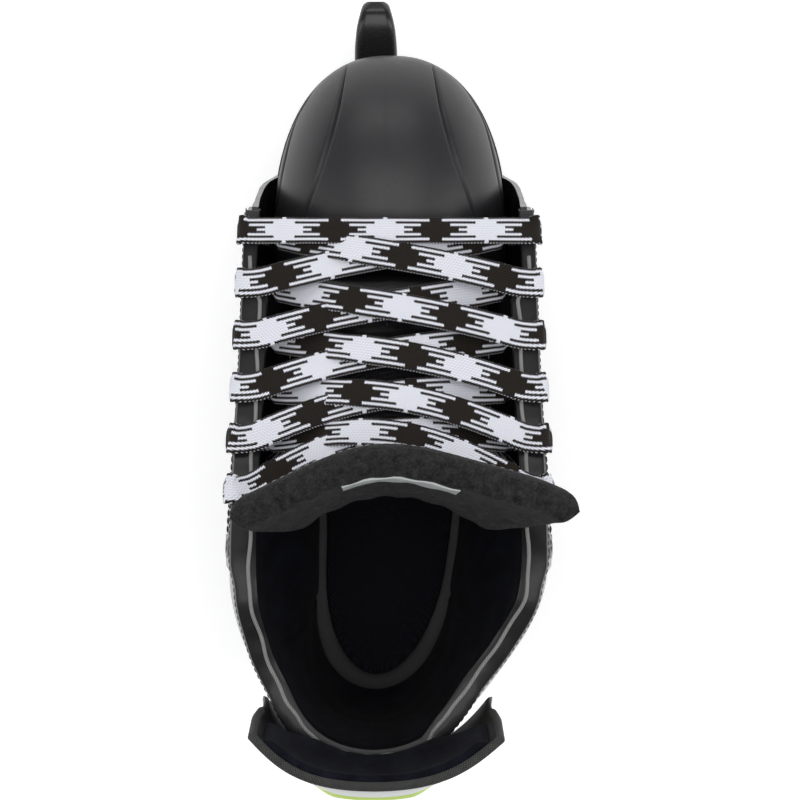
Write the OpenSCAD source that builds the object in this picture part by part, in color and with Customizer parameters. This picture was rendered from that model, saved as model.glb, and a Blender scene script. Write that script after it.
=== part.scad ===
// Ice hockey skate for the right foot, about EU size 41: laced boot, tendon guard, plastic holder, steel runner.
// X runs forward to the toe, Y to the inner (medial) side, Z up. The origin is the middle of the runner's flat,
// on the ice.

/* [Boot] */
// Length of the boot, from the back of the heel to the front of the toe cap
boot_length = 276; // [240:1:310]
// Width of the toe cap
toe_width = 99; // [88:1:112]
// Height of the collar above the sole
collar_height = 144; // [120:1:165]
// Height of the sole's underside above the ice, under the middle of the boot
sole_height = 66; // [60:1:75]
// Forward pitch of the boot, in degrees
pitch = 3; // [1:0.5:4]
// Thickness of the moulded quarter
shell_wall = 2.6; // [2:0.1:3.4]
// Thickness of the foam between quarter and lining
foam_wall = 3.2; // [2:0.1:4.5]
// Thickness of the brushed lining
lining_wall = 1.2; // [0.8:0.1:2]
// Thickness of the toe cap
toe_wall = 2.8; // [2:0.1:4]
// Thickness of the outsole
outsole_thick = 4; // [3:0.1:6]
// Thickness of the insole board
board_thick = 2; // [1.5:0.1:3]
// Thickness of the footbed
footbed_thick = 4; // [3:0.1:6]

/* [Eyelets and lace] */
// Number of eyelets on each side
eyelet_count = 7; // [6:1:7]
// Number of eyelets that the lace passes through on each side
laced_count = 6; // [4:1:6]
// Distance from eyelet to eyelet, along the edge
eyelet_pitch = 22; // [20:0.5:23]
// Radius of an eyelet's bore
eyelet_bore_r = 2.5; // [2.3:0.1:3]
// Distance of the eyelets below the edge
eyelet_drop = 11; // [9:0.5:13]
// Thickness of the facing that the eyelets clamp
facing_wall = 1.6; // [1:0.1:2.4]
// Depth of the facing below the edge
facing_depth = 22; // [19:1:28]
// Width of the flat lace
lace_width = 12; // [8:0.2:12.4]
// Thickness of the flat lace
lace_thick = 1.4; // [1:0.1:1.5]

/* [Tongue] */
// Thickness of the tongue's felt
felt_thick = 10; // [5:0.5:10]
// Thickness of the tongue's outer cover
cover_thick = 1.4; // [1:0.1:2]
// Half the width of the tongue's flared top
tongue_top_half = 62; // [52:1:64]

/* [Tendon guard] */
// Height of the guard's top above the sole, at the back
guard_height = 190; // [176:1:204]
// Thickness of the guard's moulding
guard_wall = 2.4; // [2:0.1:3.2]
// Thickness of the guard's lining
guard_lining = 3; // [2:0.1:4]

/* [Holder and runner] */
// Thickness of the runner
runner_thick = 3; // [2.8:0.1:4]
// Length of steel that shows below the holder
runner_show = 20; // [16:0.5:24]
// Length of the flat in the middle of the runner
runner_flat = 60; // [40:1:80]
// Reach of the holder's nose beyond the toe cap
nose_reach = 19; // [12:1:28]
// Width of the holder's beam
beam_width = 15; // [13:0.5:18]
// Thickness of the holder's flanges
flange_thick = 4.5; // [4:0.5:6]
// Radius of a rivet's shank
rivet_r = 2; // [1.6:0.1:2.4]

/* [Hidden] */
gap = 0.15;           // between pieces that lie against each other
clearance = 0.2;      // between a pin and its hole
lean = 8;             // how far the quarter's front edge slopes back from sole to rim
heel_share = 0.34;    // share of the wall's parameter that turns round the heel
heel_depth = 45;      // length of the rounded heel
toe_taper = 2.3;      // exponent of the toe's outline
dome_taper = 2.2;     // exponent of the toe cap's profile
binding_thick = 1.2;
inner_wall = shell_wall + foam_wall + lining_wall + 2 * gap;
heel_x = -0.493 * boot_length;
toe_x = heel_x + boot_length;
toe_half = toe_width / 2;
wide = toe_half / 49.5;
long = boot_length / 276;
high = collar_height / 144;
rear_x = heel_x + heel_depth;
rim_front_x = toe_x - 62 * long;

// ---- Curves --------------------------------------------------------------------------------------------
function flat(lists) = [for (part = lists) each part];
function unit(v) = v / norm(v);
function ease(t) = let (c = min(max(t, 0), 1)) c * c * (3 - 2 * c);
function mix(a, b, t) = a * (1 - t) + b * t;
function span_at(p, x, i = 0) = i >= len(p) - 2 || x <= p[i + 1][0] ? i : span_at(p, x, i + 1);
function rise(p, i) =
    let (a = max(i - 1, 0), b = min(i + 1, len(p) - 1)) (p[b][1] - p[a][1]) / (p[b][0] - p[a][0]);
// Smooth curve through the points [x, value]; it stays level past both ends.
function curve(p, x) =
    let (i = span_at(p, x), w = p[i + 1][0] - p[i][0], t = min(max((x - p[i][0]) / w, 0), 1))
    (2 * t - 3) * t * t * (p[i][1] - p[i + 1][1]) + p[i][1]
        + t * (1 - t) * w * ((1 - t) * rise(p, i) - t * rise(p, i + 1));
// A curve's points are given as [share of the boot's length from the heel, value].
function along(points, scale) = [for (q = points) [heel_x + q[0] * boot_length, q[1] * scale]];

// Half widths of the boot at four levels, from the sole to the rim.
sole_line = along([[0, 33], [0.2, 34.5], [0.4, 38.5], [0.6, 46.5], [0.72, 48.5], [0.84, 47.5]], wide);
low_line = along([[0, 37.5], [0.16, 38], [0.3, 40.5], [0.45, 46.5], [0.6, 52], [0.72, 53.6], [0.84, 52.5]], wide);
high_line = along(
    [[0, 38], [0.12, 46], [0.2, 56], [0.27, 60.5], [0.4, 59.5], [0.55, 57], [0.72, 55.4], [0.84, 54.2]], wide);
rim_line = along(
    [[0, 37], [0.12, 41.5], [0.19, 50], [0.27, 56.5], [0.4, 57.5], [0.55, 56.3], [0.72, 55.2], [0.84, 54]], wide);
// Height of the rim above the sole: along the collar, up to the ankle corner and down the facing.
rim_curve = along(
    [[0, 141], [0.07, 139], [0.14, 137], [0.2, 139.5], [0.26, 144], [0.31, 142.5], [0.36, 135.5], [0.43, 121],
     [0.53, 103.5], [0.64, 88.5], [0.735, 77], [0.765, 71], [0.79, 62], [0.81, 50]], high);
// How far the back of the heel stands behind its foot, by height.
heel_curve = [for (q = [[0, 3], [28, -1.5], [60, 0], [95, 5], [120, 7.5], [142, 8], [165, 10.5], [190, 17], [230, 27]])
    [q[0] * high, q[1]]];

function sole_at(x) = sole_height - x * tan(pitch);
// The boot's middle line stands over the runner at the heel and swings towards the outer side in front of it.
function swing(x) = -6 * ease((x - heel_x) / 90);
function rim_at(x) = curve(rim_curve, x);

// ---- The boot's wall: u runs from -1 (lateral front) round the heel to 1 (medial front), v from sole to rim --
function turn(t) = 90 * min(t / heel_share, 1);
function front_x(v) = rim_front_x + lean * (1 - v) + 1;
function wall_x(t, v) = t < heel_share
    ? heel_x + heel_depth * (1 - cos(turn(t)))
    : rear_x + (front_x(v) - rear_x) * (t - heel_share) / (1 - heel_share);
function wall_half(x, v) = curve(
    [[0, curve(sole_line, x)], [0.3, curve(low_line, x)], [0.72, curve(high_line, x)], [1, curve(rim_line, x)]], v);
function wall_point(u, v, lift = 0) =
    let (t = abs(u), x = wall_x(t, v), h = v * rim_at(x) + lift,
         shifted = x + curve(heel_curve, h) * pow(cos(turn(t)), 2))
    [shifted, sign(u) * wall_half(x, v) * sin(turn(t)) + swing(shifted), sole_at(shifted) + h];
function wall_normal(u, v) =
    let (step = 0.01, v0 = max(v - step, 0), v1 = min(v + step, 1), u0 = max(u - step, -1), u1 = min(u + step, 1))
    unit(cross(wall_point(u, v1) - wall_point(u, v0), wall_point(u1, v) - wall_point(u0, v)));
// A point of the wall, depth mm inside its outer face and lift mm higher.
function wall(u, v, depth, lift = 0) = wall_point(u, v, lift) - depth * wall_normal(u, v);
function wall_u(x, v = 1) = heel_share + (1 - heel_share) * (x - rear_x) / (front_x(v) - rear_x);

// ---- Solids from rings: each ring goes out along one face and back along the other ------------------------
module loft(rings) {
    n = len(rings[0]);
    last = len(rings) - 1;
    sides = [for (i = [0:last - 1], j = [0:n - 1])
        let (a = i * n + j, b = i * n + (j + 1) % n)
        each j < n / 2 ? [[a, b + n, b], [a, a + n, b + n]] : [[a, a + n, b], [b, a + n, b + n]]];
    start_cap = [for (j = [0:n / 2 - 2])
        each [[j, n - 2 - j, n - 1 - j], [j, j + 1, n - 2 - j]]];
    end_cap = [for (j = [0:n / 2 - 2])
        let (o = last * n) each [[o + j, o + n - 1 - j, o + n - 2 - j], [o + j, o + n - 2 - j, o + j + 1]]];
    polyhedron(points = flat(rings), faces = concat(sides, start_cap, end_cap), convexity = 10);
}
// A layer of the wall between two depths, over the stations us and the levels vs.
module wall_layer(us, vs, outer, inner) {
    loft([for (u = us) concat(
        [for (v = vs) wall(u, v, outer)],
        [for (i = [len(vs) - 1:-1:0]) wall(u, vs[i], inner)])]);
}
function steps(a, b, n) = [for (i = [0:n]) mix(a, b, i / n)];
function mirrored(us) = [for (i = [len(us) - 1:-1:0]) -us[i]];
function sided(us, side) = side > 0 ? us : mirrored(us);

// ---- Eyelets ------------------------------------------------------------------------------------------
first_eyelet_x = toe_x - 73 * long;
// Stations of the eyelets, one pitch apart along the sloping edge.
function rim_slope(x) = (rim_at(x - 1) + sole_at(x - 1) - rim_at(x + 1) - sole_at(x + 1)) / 2;
function next_eyelet(x) = x - eyelet_pitch / sqrt(1 + pow(rim_slope(x - eyelet_pitch / 2.4), 2));
function eyelet_x(i) = i == 0 ? first_eyelet_x : next_eyelet(eyelet_x(i - 1));
eyelet_xs = [for (i = [0:eyelet_count - 1]) eyelet_x(i)];
// Level v of a point that is drop mm below the rim at station x.
function level(x, drop) = 1 - drop / rim_at(x);
function eyelet_u(i) = wall_u(eyelet_xs[i], level(eyelet_xs[i], eyelet_drop));
function eyelet_v(i) = level(eyelet_xs[i], eyelet_drop);
// Places what is drawn along +Z on an eyelet's axis: Z is the wall's outward normal and 0 is its outer face.
module at_eyelet(i, side) {
    n = wall_normal(side * eyelet_u(i), eyelet_v(i));
    translate(wall_point(side * eyelet_u(i), eyelet_v(i)))
        rotate([0, acos(n[2]), atan2(n[1], n[0])]) children();
}
eyelet_barrel_r = eyelet_bore_r + 0.7;
eyelet_flange_r = eyelet_bore_r + 2.3;
flange_t = 0.7;
module eyelet_holes(side) {
    for (i = [0:eyelet_count - 1])
        at_eyelet(i, side) translate([0, 0, -inner_wall - 6])
            cylinder(h = inner_wall + 12, r = eyelet_barrel_r + clearance, $fn = 32);
}
module eyelets(side) {
    out = facing_gap + facing_wall + gap;
    inside = inner_wall + 2 * gap;
    color([0.16, 0.16, 0.17])
        for (i = [0:eyelet_count - 1]) at_eyelet(i, side)
            difference() {
                union() {
                    translate([0, 0, -inside - flange_t / 2])
                        cylinder(h = inside + out + flange_t, r = eyelet_barrel_r, $fn = 48);
                    translate([0, 0, out]) cylinder(h = flange_t, r = eyelet_flange_r, $fn = 48);
                    translate([0, 0, -inside - flange_t]) cylinder(h = flange_t, r = eyelet_flange_r, $fn = 48);
                }
                translate([0, 0, -inside - flange_t - 1])
                    cylinder(h = inside + out + 2 * flange_t + 2, r = eyelet_bore_r, $fn = 48);
            }
}

// ---- Layers of the boot ---------------------------------------------------------------------------------
// All layers share these stations and levels, so that their facets lie parallel.
wall_levels = [0, 0.07, 0.16, 0.3, 0.45, 0.6, 0.74, 0.87, 1];
inner_levels = [for (v = wall_levels) if (v > 0) v];
heel_stations = [for (a = [0:8]) max(heel_share * a / 9, 0.003)];
side_stations = steps(heel_share, 1, 24);
// Inner layers stop behind the toe cap's rear edge.
toe_cap_rear = toe_x - 86 * long;
inner_stations = [for (u = side_stations) if (wall_x(u, 0) < toe_cap_rear - 3) u];
inner_front = inner_stations[len(inner_stations) - 1];

module quarter(side) {
    color([0.05, 0.05, 0.055]) difference() {
        wall_layer(sided(concat(heel_stations, side_stations), side), wall_levels, 0, shell_wall);
        eyelet_holes(side);
    }
}
module foam(side) {
    color([0.75, 0.72, 0.6]) difference() {
        wall_layer(sided(concat(heel_stations, inner_stations), side), inner_levels,
                   shell_wall + gap, shell_wall + gap + foam_wall);
        eyelet_holes(side);
    }
}
module lining(side) {
    color([0.03, 0.03, 0.05]) difference() {
        wall_layer(sided(concat(heel_stations, inner_stations), side), inner_levels,
                   inner_wall - lining_wall, inner_wall);
        eyelet_holes(side);
    }
}
facing_gap = 0.35;
facing_rear = wall_u(eyelet_xs[eyelet_count - 1] - 9);
facing_front = 0.985;
facing_stations = concat([facing_rear],
    [for (u = side_stations) if (u > facing_rear + 0.01 && u < facing_front - 0.005) u], [facing_front]);
module facing(side) {
    color([0.09, 0.09, 0.1]) difference() {
        loft([for (u = sided(facing_stations, side))
            let (x = wall_x(abs(u), 1), vs = [for (k = [0:3]) level(x, mix(facing_depth, 0.4, k / 3))])
            concat([for (v = vs) wall(u, v, -facing_gap - facing_wall)],
                   [for (k = [3:-1:0]) wall(u, vs[k], -facing_gap)])]);
        eyelet_holes(side);
    }
}
// The binding covers the wall's edge, from the outside of the facing to the inside of the lining.
function binding_out(u) = mix(0.4, facing_gap + facing_wall, ease((abs(u) - facing_rear + 0.02) / 0.04));
function binding_in(u) = 0.4 + (abs(u) > inner_front ? shell_wall : inner_wall);
module binding(side) {
    color([0.36, 0.36, 0.37]) loft([for (u = sided(concat(heel_stations, side_stations), side))
        [wall(u, 1, -binding_out(u), gap), wall(u, 1, -binding_out(u), gap + binding_thick),
         wall(u, 1, binding_in(u), gap + binding_thick), wall(u, 1, binding_in(u), gap)]]);
}
module back_stay() {
    half = [for (u = heel_stations) if (u < 0.2) u];
    levels = [for (v = wall_levels) if (v > 0 && v < 0.8) v];
    color([0.1, 0.1, 0.11]) wall_layer(concat(mirrored(half), half), levels, -gap - 1.8, -gap);
}

// ---- Toe cap --------------------------------------------------------------------------------------------
toe_reach = 80 * long;
toe_centre = toe_x - toe_reach;
cap_reach = 65 * long;
cap_height = 63 * high;
cap_overhang = 4;     // how far the cap's front stands in front of its foot
function taper(s, n) = pow(max(1 - pow(abs(s), n), 0), 1 / n);
// A ring point of the toe cap at station x and angle a, inset mm inside its outer face.
function cap_point(x, a, inset) =
    let (s = max(x - toe_centre, 0) / (toe_reach - inset), q = max(x - (toe_x - cap_reach), 0) / (cap_reach - inset),
         b = (toe_half - inset) * taper(s, toe_taper), c = (cap_height - inset) * taper(q, dome_taper),
         h = c * pow(abs(sin(a)), 2 / 2.5), y = b * sign(cos(a)) * pow(abs(cos(a)), 2 / 2.5),
         drawn = x - cap_overhang * max(x - toe_centre, 0) / toe_reach * (1 - ease(h / 26)))
    [drawn, y * (0.9 + 0.1 * ease(h / 26)) + swing(x), sole_at(drawn) + h];
module cap_dome(inset, rear, floor_drop) {
    reach = toe_reach - inset;
    first = asin((rear - toe_centre) / reach);
    turns = [for (k = [0:13]) mix(first, 86, k / 13)];
    loft([for (f = turns) [for (k = [0:15])
        cap_point(toe_centre + reach * sin(f), 180 * k / 15, inset) - [0, 0, k % 15 == 0 ? floor_drop : 0]]]);
}
module toe_cap() {
    color([0.07, 0.07, 0.075]) difference() {
        cap_dome(0, toe_cap_rear, 0);
        cap_dome(toe_wall, toe_cap_rear - 1, 1);
    }
}

module toe_lining() {
    rear = toe_cap_rear + 15;
    inset = toe_wall + 0.3;
    color([0.75, 0.72, 0.6]) difference() {
        cap_dome(inset, rear, 0);
        cap_dome(inset + lining_wall, rear - 1, 1);
    }
}

// ---- Sole -----------------------------------------------------------------------------------------------
sole_reach = toe_reach - cap_overhang;
// Outline of the sole at a distance inside the boot's own outline.
function sole_half(x, inset) = x < toe_centre
    ? curve(sole_line, x) - inset
    : (curve(sole_line, toe_centre) - inset) * taper((x - toe_centre) / (sole_reach - inset), toe_taper);
function sole_outline(inset) =
    let (heel = heel_x + 3 + inset,
         side = concat(
             [for (k = [0:8]) let (a = 90 * k / 8, x = heel + heel_depth * (1 - cos(a)))
                  [x, sole_half(x, inset) * sin(a)]],
             [for (k = [1:9]) let (x = mix(heel + heel_depth, toe_centre, k / 9)) [x, sole_half(x, inset)]],
             [for (k = [1:10]) let (x = toe_centre + (sole_reach - inset) * sin(9 * k))
                  [x, sole_half(x, inset)]]))
    concat([for (p = side) [p[0], p[1] + swing(p[0])]],
           [for (k = [len(side) - 2:-1:1]) [side[k][0], -side[k][1] + swing(side[k][0])]]);
// A plate parallel to the sole, from one height above it to another.
module sole_plate(low, high_face, inset, from_x = -400, to_x = 400) {
    intersection() {
        linear_extrude(height = 300) polygon(sole_outline(inset));
        translate([0, 0, sole_height]) rotate([0, pitch, 0])
            translate([from_x, -100, low]) cube([to_x - from_x, 200, high_face - low]);
    }
}
module rivet_holes(points) {
    for (p = points) at_rivet(p) translate([0, 0, -60])
        cylinder(h = 120, r = rivet_r + clearance / 2, $fn = 32);
}
module outsole() {
    color([0.04, 0.04, 0.04]) difference() {
        sole_plate(-outsole_thick, -gap, -0.5);
        rivet_holes(concat(front_rivets, rear_rivets));
    }
}
sole_inset = inner_wall + 2.2;
module insole_board() {
    color([0.5, 0.42, 0.3]) difference() {
        sole_plate(gap, board_thick, sole_inset);
        rivet_holes(concat(front_rivets, rear_rivets));
    }
}
rivet_head_t = 0.9;
module footbed() {
    low = board_thick + rivet_head_t + gap;
    color([0.08, 0.08, 0.1]) sole_plate(low, low + footbed_thick, sole_inset + 0.6);
}

// ---- Tongue: the laced part lies between the walls, and the flared top flops forward over the last row -----
tongue_half = wide * 42;
tongue_crown = 20;    // how far the tongue's sides fall below its middle
hinge_x = heel_x + 0.426 * boot_length;
lower_end_x = hinge_x + 7;
tongue_line = along([[0.333, 140], [0.42, 124], [0.493, 110.5], [0.565, 97], [0.623, 82], [0.663, 67], [0.688, 57],
    [0.732, 49]], high);
function tongue_at(x) = curve(tongue_line, x);
function tongue_drop(y) = tongue_crown * pow(y / (tongue_half + 4), 2);
function tongue_top(x, y, below) = [x, y + swing(x), sole_at(x) + tongue_at(x) - tongue_drop(y) - below];
module tongue_lower(from, to, half) {
    xs = steps(lower_end_x, toe_x - 74 * long, 14);
    ys = steps(1, -1, 10);
    loft([for (x = xs)
        let (w = half * mix(0.7, 1, ease((toe_x - 84 * long - x) / 30)))
        concat([for (k = ys) tongue_top(x, k * w, from)], [for (k = [10:-1:0]) tongue_top(x, ys[k] * w, to)])]);
}
// The top part's middle line: height over the hinge, how far it leans forward, half width, and its backward curl.
hinge_z = sole_at(hinge_x) + tongue_at(hinge_x) + 1.5;
tongue_lean = [[0, 4], [10, 5], [22, 8.5], [34, 13.5], [43, 18]];
tongue_flare = [[0, tongue_half - 1], [14, tongue_half + 3], [28, tongue_top_half - 6], [43, tongue_top_half]];
tongue_curl = [[0, 15], [14, 18], [43, 22]];
tongue_shift = -6;    // the top sits towards the outer side
function flap_point(h, k, out) =
    let (slope = (curve(tongue_lean, h + 1) - curve(tongue_lean, h - 1)) / 2, n = unit([1, 0, -slope]),
         w = curve(tongue_flare, h), back = curve(tongue_curl, h) * k * k)
    [hinge_x + curve(tongue_lean, h) - back, k * w + swing(hinge_x) + tongue_shift * h / 43,
     hinge_z + h - 6 * k * k * ease(h / 30)]
        + out * n;
flap_levels = steps(1, 43, 12);
module tongue_flap(from, to, first, last) {
    ks = steps(-1, 1, 12);
    loft([for (i = [first:last])
        let (h = flap_levels[i], w = 1 - 0.05 * pow(max(h - 38, 0) / 5, 2))
        concat([for (k = ks) flap_point(h, k * w, from)], [for (k = [12:-1:0]) flap_point(h, ks[k] * w, to)])]);
}
module tongue_felt_lower() {
    color([0.12, 0.12, 0.12]) tongue_lower(cover_thick + gap, cover_thick + gap + felt_thick, tongue_half);
}
module tongue_cover_lower() {
    color([0.03, 0.03, 0.03]) tongue_lower(0, cover_thick, tongue_half - 2);
}
module tongue_felt_upper() {
    color([0.12, 0.12, 0.12]) tongue_flap(0, -felt_thick, 0, 12);
}
module tongue_cover_upper() {
    color([0.03, 0.03, 0.03]) tongue_flap(cover_thick + gap, gap, 1, 11);
}
// A plain woven label on the inner face of the tongue's top.
module tongue_label() {
    back = -felt_thick - gap;
    color([0.6, 0.62, 0.62]) loft([for (h = steps(28, 39, 4))
        concat([for (k = steps(-0.34, 0.24, 6)) flap_point(h, k, back)],
               [for (k = steps(0.24, -0.34, 6)) flap_point(h, k, back - 0.6)])]);
}

// ---- Tendon guard ---------------------------------------------------------------------------------------
guard_base = 116 * high;
guard_span = 0.27;    // how far the guard's wings reach round the heel, in the wall's u
wing_drop = 14;       // how far the wings' tips lie below the guard's top
wing_flare = 5;       // how far they stand off the wall at the top
// A point out mm outside the wall: a turns from one wing (-1) round the back (0) to the other wing (1), and above the
// rim the guard goes on along the wall's own lines.
function guard_point(a, h, out) =
    let (u = a * guard_span, rim = rim_at(wall_x(abs(u), 1)), t = (h - guard_base) / (guard_height - guard_base))
    wall(u, min(h / rim, 1), -out - wing_flare * pow(abs(a), 4) * ease(2 * t), max(h - rim, 0))
        - [0, 0, wing_drop * pow(abs(a), 3) * ease(t)];
// All of the guard's layers share these stations, so that their facets lie parallel.
guard_turns = steps(-1, 1, 24);
guard_heights = steps(guard_base, guard_height, 12);
module guard_layer(from, to, low, top, spread) {
    hs = [for (h = guard_heights) if (h > low && h < top) h];
    loft([for (a = guard_turns) if (abs(a) < spread) concat(
        [for (h = hs) guard_point(a, h, from)],
        [for (i = [len(hs) - 1:-1:0]) guard_point(a, hs[i], to)])]);
}
guard_out = 1.6;      // room between the wall and the guard
module tendon_guard() {
    color([0.06, 0.06, 0.065]) guard_layer(guard_out + guard_wall, guard_out, 0, guard_height + 1, 1.01);
}
module guard_lining_part() {
    color([0.03, 0.03, 0.06]) guard_layer(guard_out - gap, guard_out - gap - guard_lining,
        collar_height + binding_thick + 2, guard_height - 1, 0.97);
}
module guard_panel() {
    outer = guard_out + guard_wall + gap;
    color([0.78, 0.9, 0.12]) guard_layer(outer + 0.8, outer, guard_base + 10, guard_height - 1, 0.55);
}

// ---- Lace -----------------------------------------------------------------------------------------------
// Heights over the rim line, by distance from the middle, for a band that comes in under the wall and goes out over
// the other one. The upper band climbs over the lower one where they cross.
rim_clear = binding_thick + gap + lace_thick / 2 + 0.85;
function upper_in(y) = curve([[0, 5.9], [6, 5.7], [14, 5.0], [20, 4.0], [25, 2.2], [29, 0],
                             [36, -4], [48, -10.4]], y);
function upper_out(y) = curve([[0, 5.9], [12, 5.4], [30, 4.2], [48, rim_clear + 0.2], [60, rim_clear]], y);
function lower_in(y) = curve([[0, 3.5], [8, 2.9], [18, 0.7], [30, -3.9], [40, -7.6], [48, -10.4]], y);
function lower_out(y) = curve([[0, 3.5], [12, 3.1], [30, 2.7], [48, rim_clear], [60, rim_clear]], y);
function twist_in(y) = 14 * ease((y - 10) / 10) * (1 - ease((y - 32) / 10));
function rim_z(x) = sole_at(x) + rim_at(x);
function edge_half(x, depth) = wall(wall_u(x), 1, depth)[1] - swing(x);
// A ring of the flat lace: centre, direction of travel, direction across, width and thickness.
function lace_ring(p, ahead, across, w, t) =
    let (d = unit(ahead), s = unit(across - (across * d) * d), n = cross(s, d))
    [for (q = [[-0.5, 0.18], [-0.34, 0.5], [0.34, 0.5], [0.5, 0.18],
               [0.5, -0.18], [0.34, -0.5], [-0.34, -0.5], [-0.5, -0.18]])
        p + s * (q[0] * w) + n * (q[1] * t)];
// Each stop of a path is [centre, direction across, width, thickness].
function slope_across(x) = unit([1, 0, -rim_slope(x)]);
neck_w = eyelet_bore_r * 1.6;
neck_t = eyelet_bore_r * 0.8;
mouth_out = facing_gap + facing_wall + gap + flange_t + 0.1;
mouth_in = inner_wall + 2 * gap + flange_t + 0.1;
turn_room = 1.3;
function on_axis(i, side, depth) =
    [wall(side * eyelet_u(i), eyelet_v(i), depth), slope_across(eyelet_xs[i]), neck_w, neck_t];
rim_ahead = 3.5;      // how far in front of its eyelet a band crosses the rim
// From an eyelet's outer mouth up over the rim: stops in that order. Side is 1 on the medial side.
function climb(i, side) =
    let (x = eyelet_xs[i], out = mouth_out + turn_room, over = x + rim_ahead, across = slope_across(over))
    [on_axis(i, side, -mouth_out), on_axis(i, side, -out),
     [wall(side * wall_u(x + 0.3 * rim_ahead), level(x, eyelet_drop - 3), -out - 0.4), across,
      lace_width * 0.62, lace_thick * 1.2],
     [wall(side * wall_u(x + 0.7 * rim_ahead), level(x, eyelet_drop - 7), -out + 0.1), across,
      lace_width * 0.88, lace_thick],
     [wall(side * wall_u(over), 1, -out + 0.5, 1.2), across, lace_width, lace_thick],
     [wall(side * wall_u(over), 1, -1.4, rim_clear + 0.5), across, lace_width, lace_thick]];
// Inside the wall, from an eyelet's bore to where the band turns up.
function dive(i, side) = [on_axis(i, side, mouth_in), on_axis(i, side, mouth_in + turn_room)];
// Share of the way back that a band has gone when it is t of the way across: it bows towards the toe.
function arch(t) = t * (0.4 + 0.6 * t);
// How far the band from eyelet i bows beyond that.
function bow(i) = 0.65 * i * i;
// The band from the inner mouth of eyelet i on one side, across the boot, to the outer mouth of the next one.
function crossing(i, side) =
    let (a = dive(i, side), b = climb(i + 1, -side), xa = eyelet_xs[i], xb = eyelet_xs[i + 1] + rim_ahead,
         ya = edge_half(xa, inner_wall + 4), yb = edge_half(xb, inner_wall - 2), up = side > 0,
         ys = concat(steps(ya, 8, 7), steps(3, -3, 2), steps(-8, -yb, 6)))
    concat(a,
        [for (y = ys) let (t = (ya + 3 - y) / (ya + yb + 5), x = mix(xa, xb, arch(t)) + bow(i) * sin(180 * t),
                far = abs(y) * 48 / ya,
                rel = y > 0 ? (up ? upper_in(far) : lower_in(far)) : (up ? upper_out(far) : lower_out(far)),
                tilt = y > 0 && up ? twist_in(far) : 0, s = slope_across(x))
            [[x, side * y + swing(x), rim_z(x) + rel], s + [0, 0, -1] * tan(tilt),
             lace_width * mix(1, 0.72, ease((y - ya + 9) / 9)), lace_thick]],
        [for (k = [len(b) - 1:-1:0]) b[k]]);
// The straight bar of the first row, from outer mouth to outer mouth.
function first_bar() =
    let (x = eyelet_xs[0] + rim_ahead, a = climb(0, 1), b = climb(0, -1), half = edge_half(x, 4))
    concat(a, [for (y = steps(half - 6, -half + 6, 8))
            [[x, y + swing(x), rim_z(x) + rim_clear + 0.4 * cos(90 * y / half)], slope_across(x),
             lace_width, lace_thick]],
        [for (k = [len(b) - 1:-1:0]) b[k]]);
// Down one half of the lace, from the last laced eyelet's inner mouth to the first one's outer mouth.
function lace_half(side, i = 0) = i >= laced_count - 1 ? [] :
    concat(crossing(i, i % 2 == 0 ? side : -side), lace_half(side, i + 1));
// From the last eyelet's bore down along the lining to where the free end hangs on.
function through_end(side) =
    let (last = laced_count - 1, s = laced_count % 2 == 1 ? side : -side, route = end_points(s),
        start = route[0],
         back = unit(start - route[1]), x = end_from + 0.5, across = [1, 0, 0])
    concat(dive(last, s),
        [for (d = [5, 10]) [wall(s * wall_u(x), level(x, eyelet_drop + d), mouth_in + 1.6 + d / 10), across,
            lace_width * (0.5 + d / 20), lace_thick * 1.1]],
        [for (d = [3, 0.15]) [start + d * back, across, lace_width, lace_thick]]);
function side_point(p, side) = [p[0], side * p[1] + swing(p[0]), p[2]];
function reversed(p) = [for (k = [len(p) - 1:-1:0]) p[k]];
function lace_path() = concat(
    reversed(concat(lace_half(1), through_end(1))), first_bar(), concat(lace_half(-1), through_end(-1)));
function lace_rings(stops) = let (n = len(stops) - 1)
    [for (k = [0:n]) let (q = stops[k], ahead = stops[min(k + 1, n)][0] - stops[max(k - 1, 0)][0])
        lace_ring(q[0], ahead, q[1], q[2], q[3])];
module lace() {
    color([0.92, 0.92, 0.94]) loft(lace_rings(lace_path()));
}

// The two free ends of the lace hang down along the lining and lie along the footbed. Each stop of the hanging part is
// [distance in front of the last laced eyelet, level v of the wall, distance from the lining].
end_r = 1.6;
end_from = eyelet_xs[laced_count - 1];
hanging = [[1, 0.78, 2.6], [1, 0.72, 2.6], [1.5, 0.65, 2.8], [2.5, 0.57, 3], [5, 0.49, 3], [8, 0.41, 3.2],
           [13, 0.33, 3.4],
    [19, 0.25, 4], [27, 0.19, 5.4]];
footbed_top = board_thick + rivet_head_t + gap + footbed_thick;
function hung(q) =
    let (x = end_from + q[0], p = wall(wall_u(x, q[1]), q[1], inner_wall + q[2])) [p[0], p[1] - swing(p[0]), p[2]];
function lying(x) = [x, sole_half(x, sole_inset) - 8, sole_at(x) + (footbed_top + end_r + 0.3) / cos(pitch)];
end_route = concat([for (q = hanging) hung(q)], [for (d = [38, 49, 61, 73]) lying(end_from + d)]);
function end_points(side) = [for (p = end_route) side_point(p, side)];
// A tube with 8 sides round a route, with its ends square to the first and the last stretch.
function tube_ring(route, k, r) =
    let (n = len(route) - 1, d = unit(route[min(k + 1, n)] - route[max(k - 1, 0)]),
         s = unit(cross(d, [1, 0, 0])), c = cross(d, s))
    [for (j = [0:7]) route[k] + r * (cos(45 * j) * s + sin(45 * j) * c)];
module tube(route, r) {
    loft([for (k = [0:len(route) - 1]) tube_ring(route, k, r)]);
}
module lace_end(side) {
    color([0.92, 0.92, 0.94]) tube(end_points(side), end_r);
}
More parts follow.
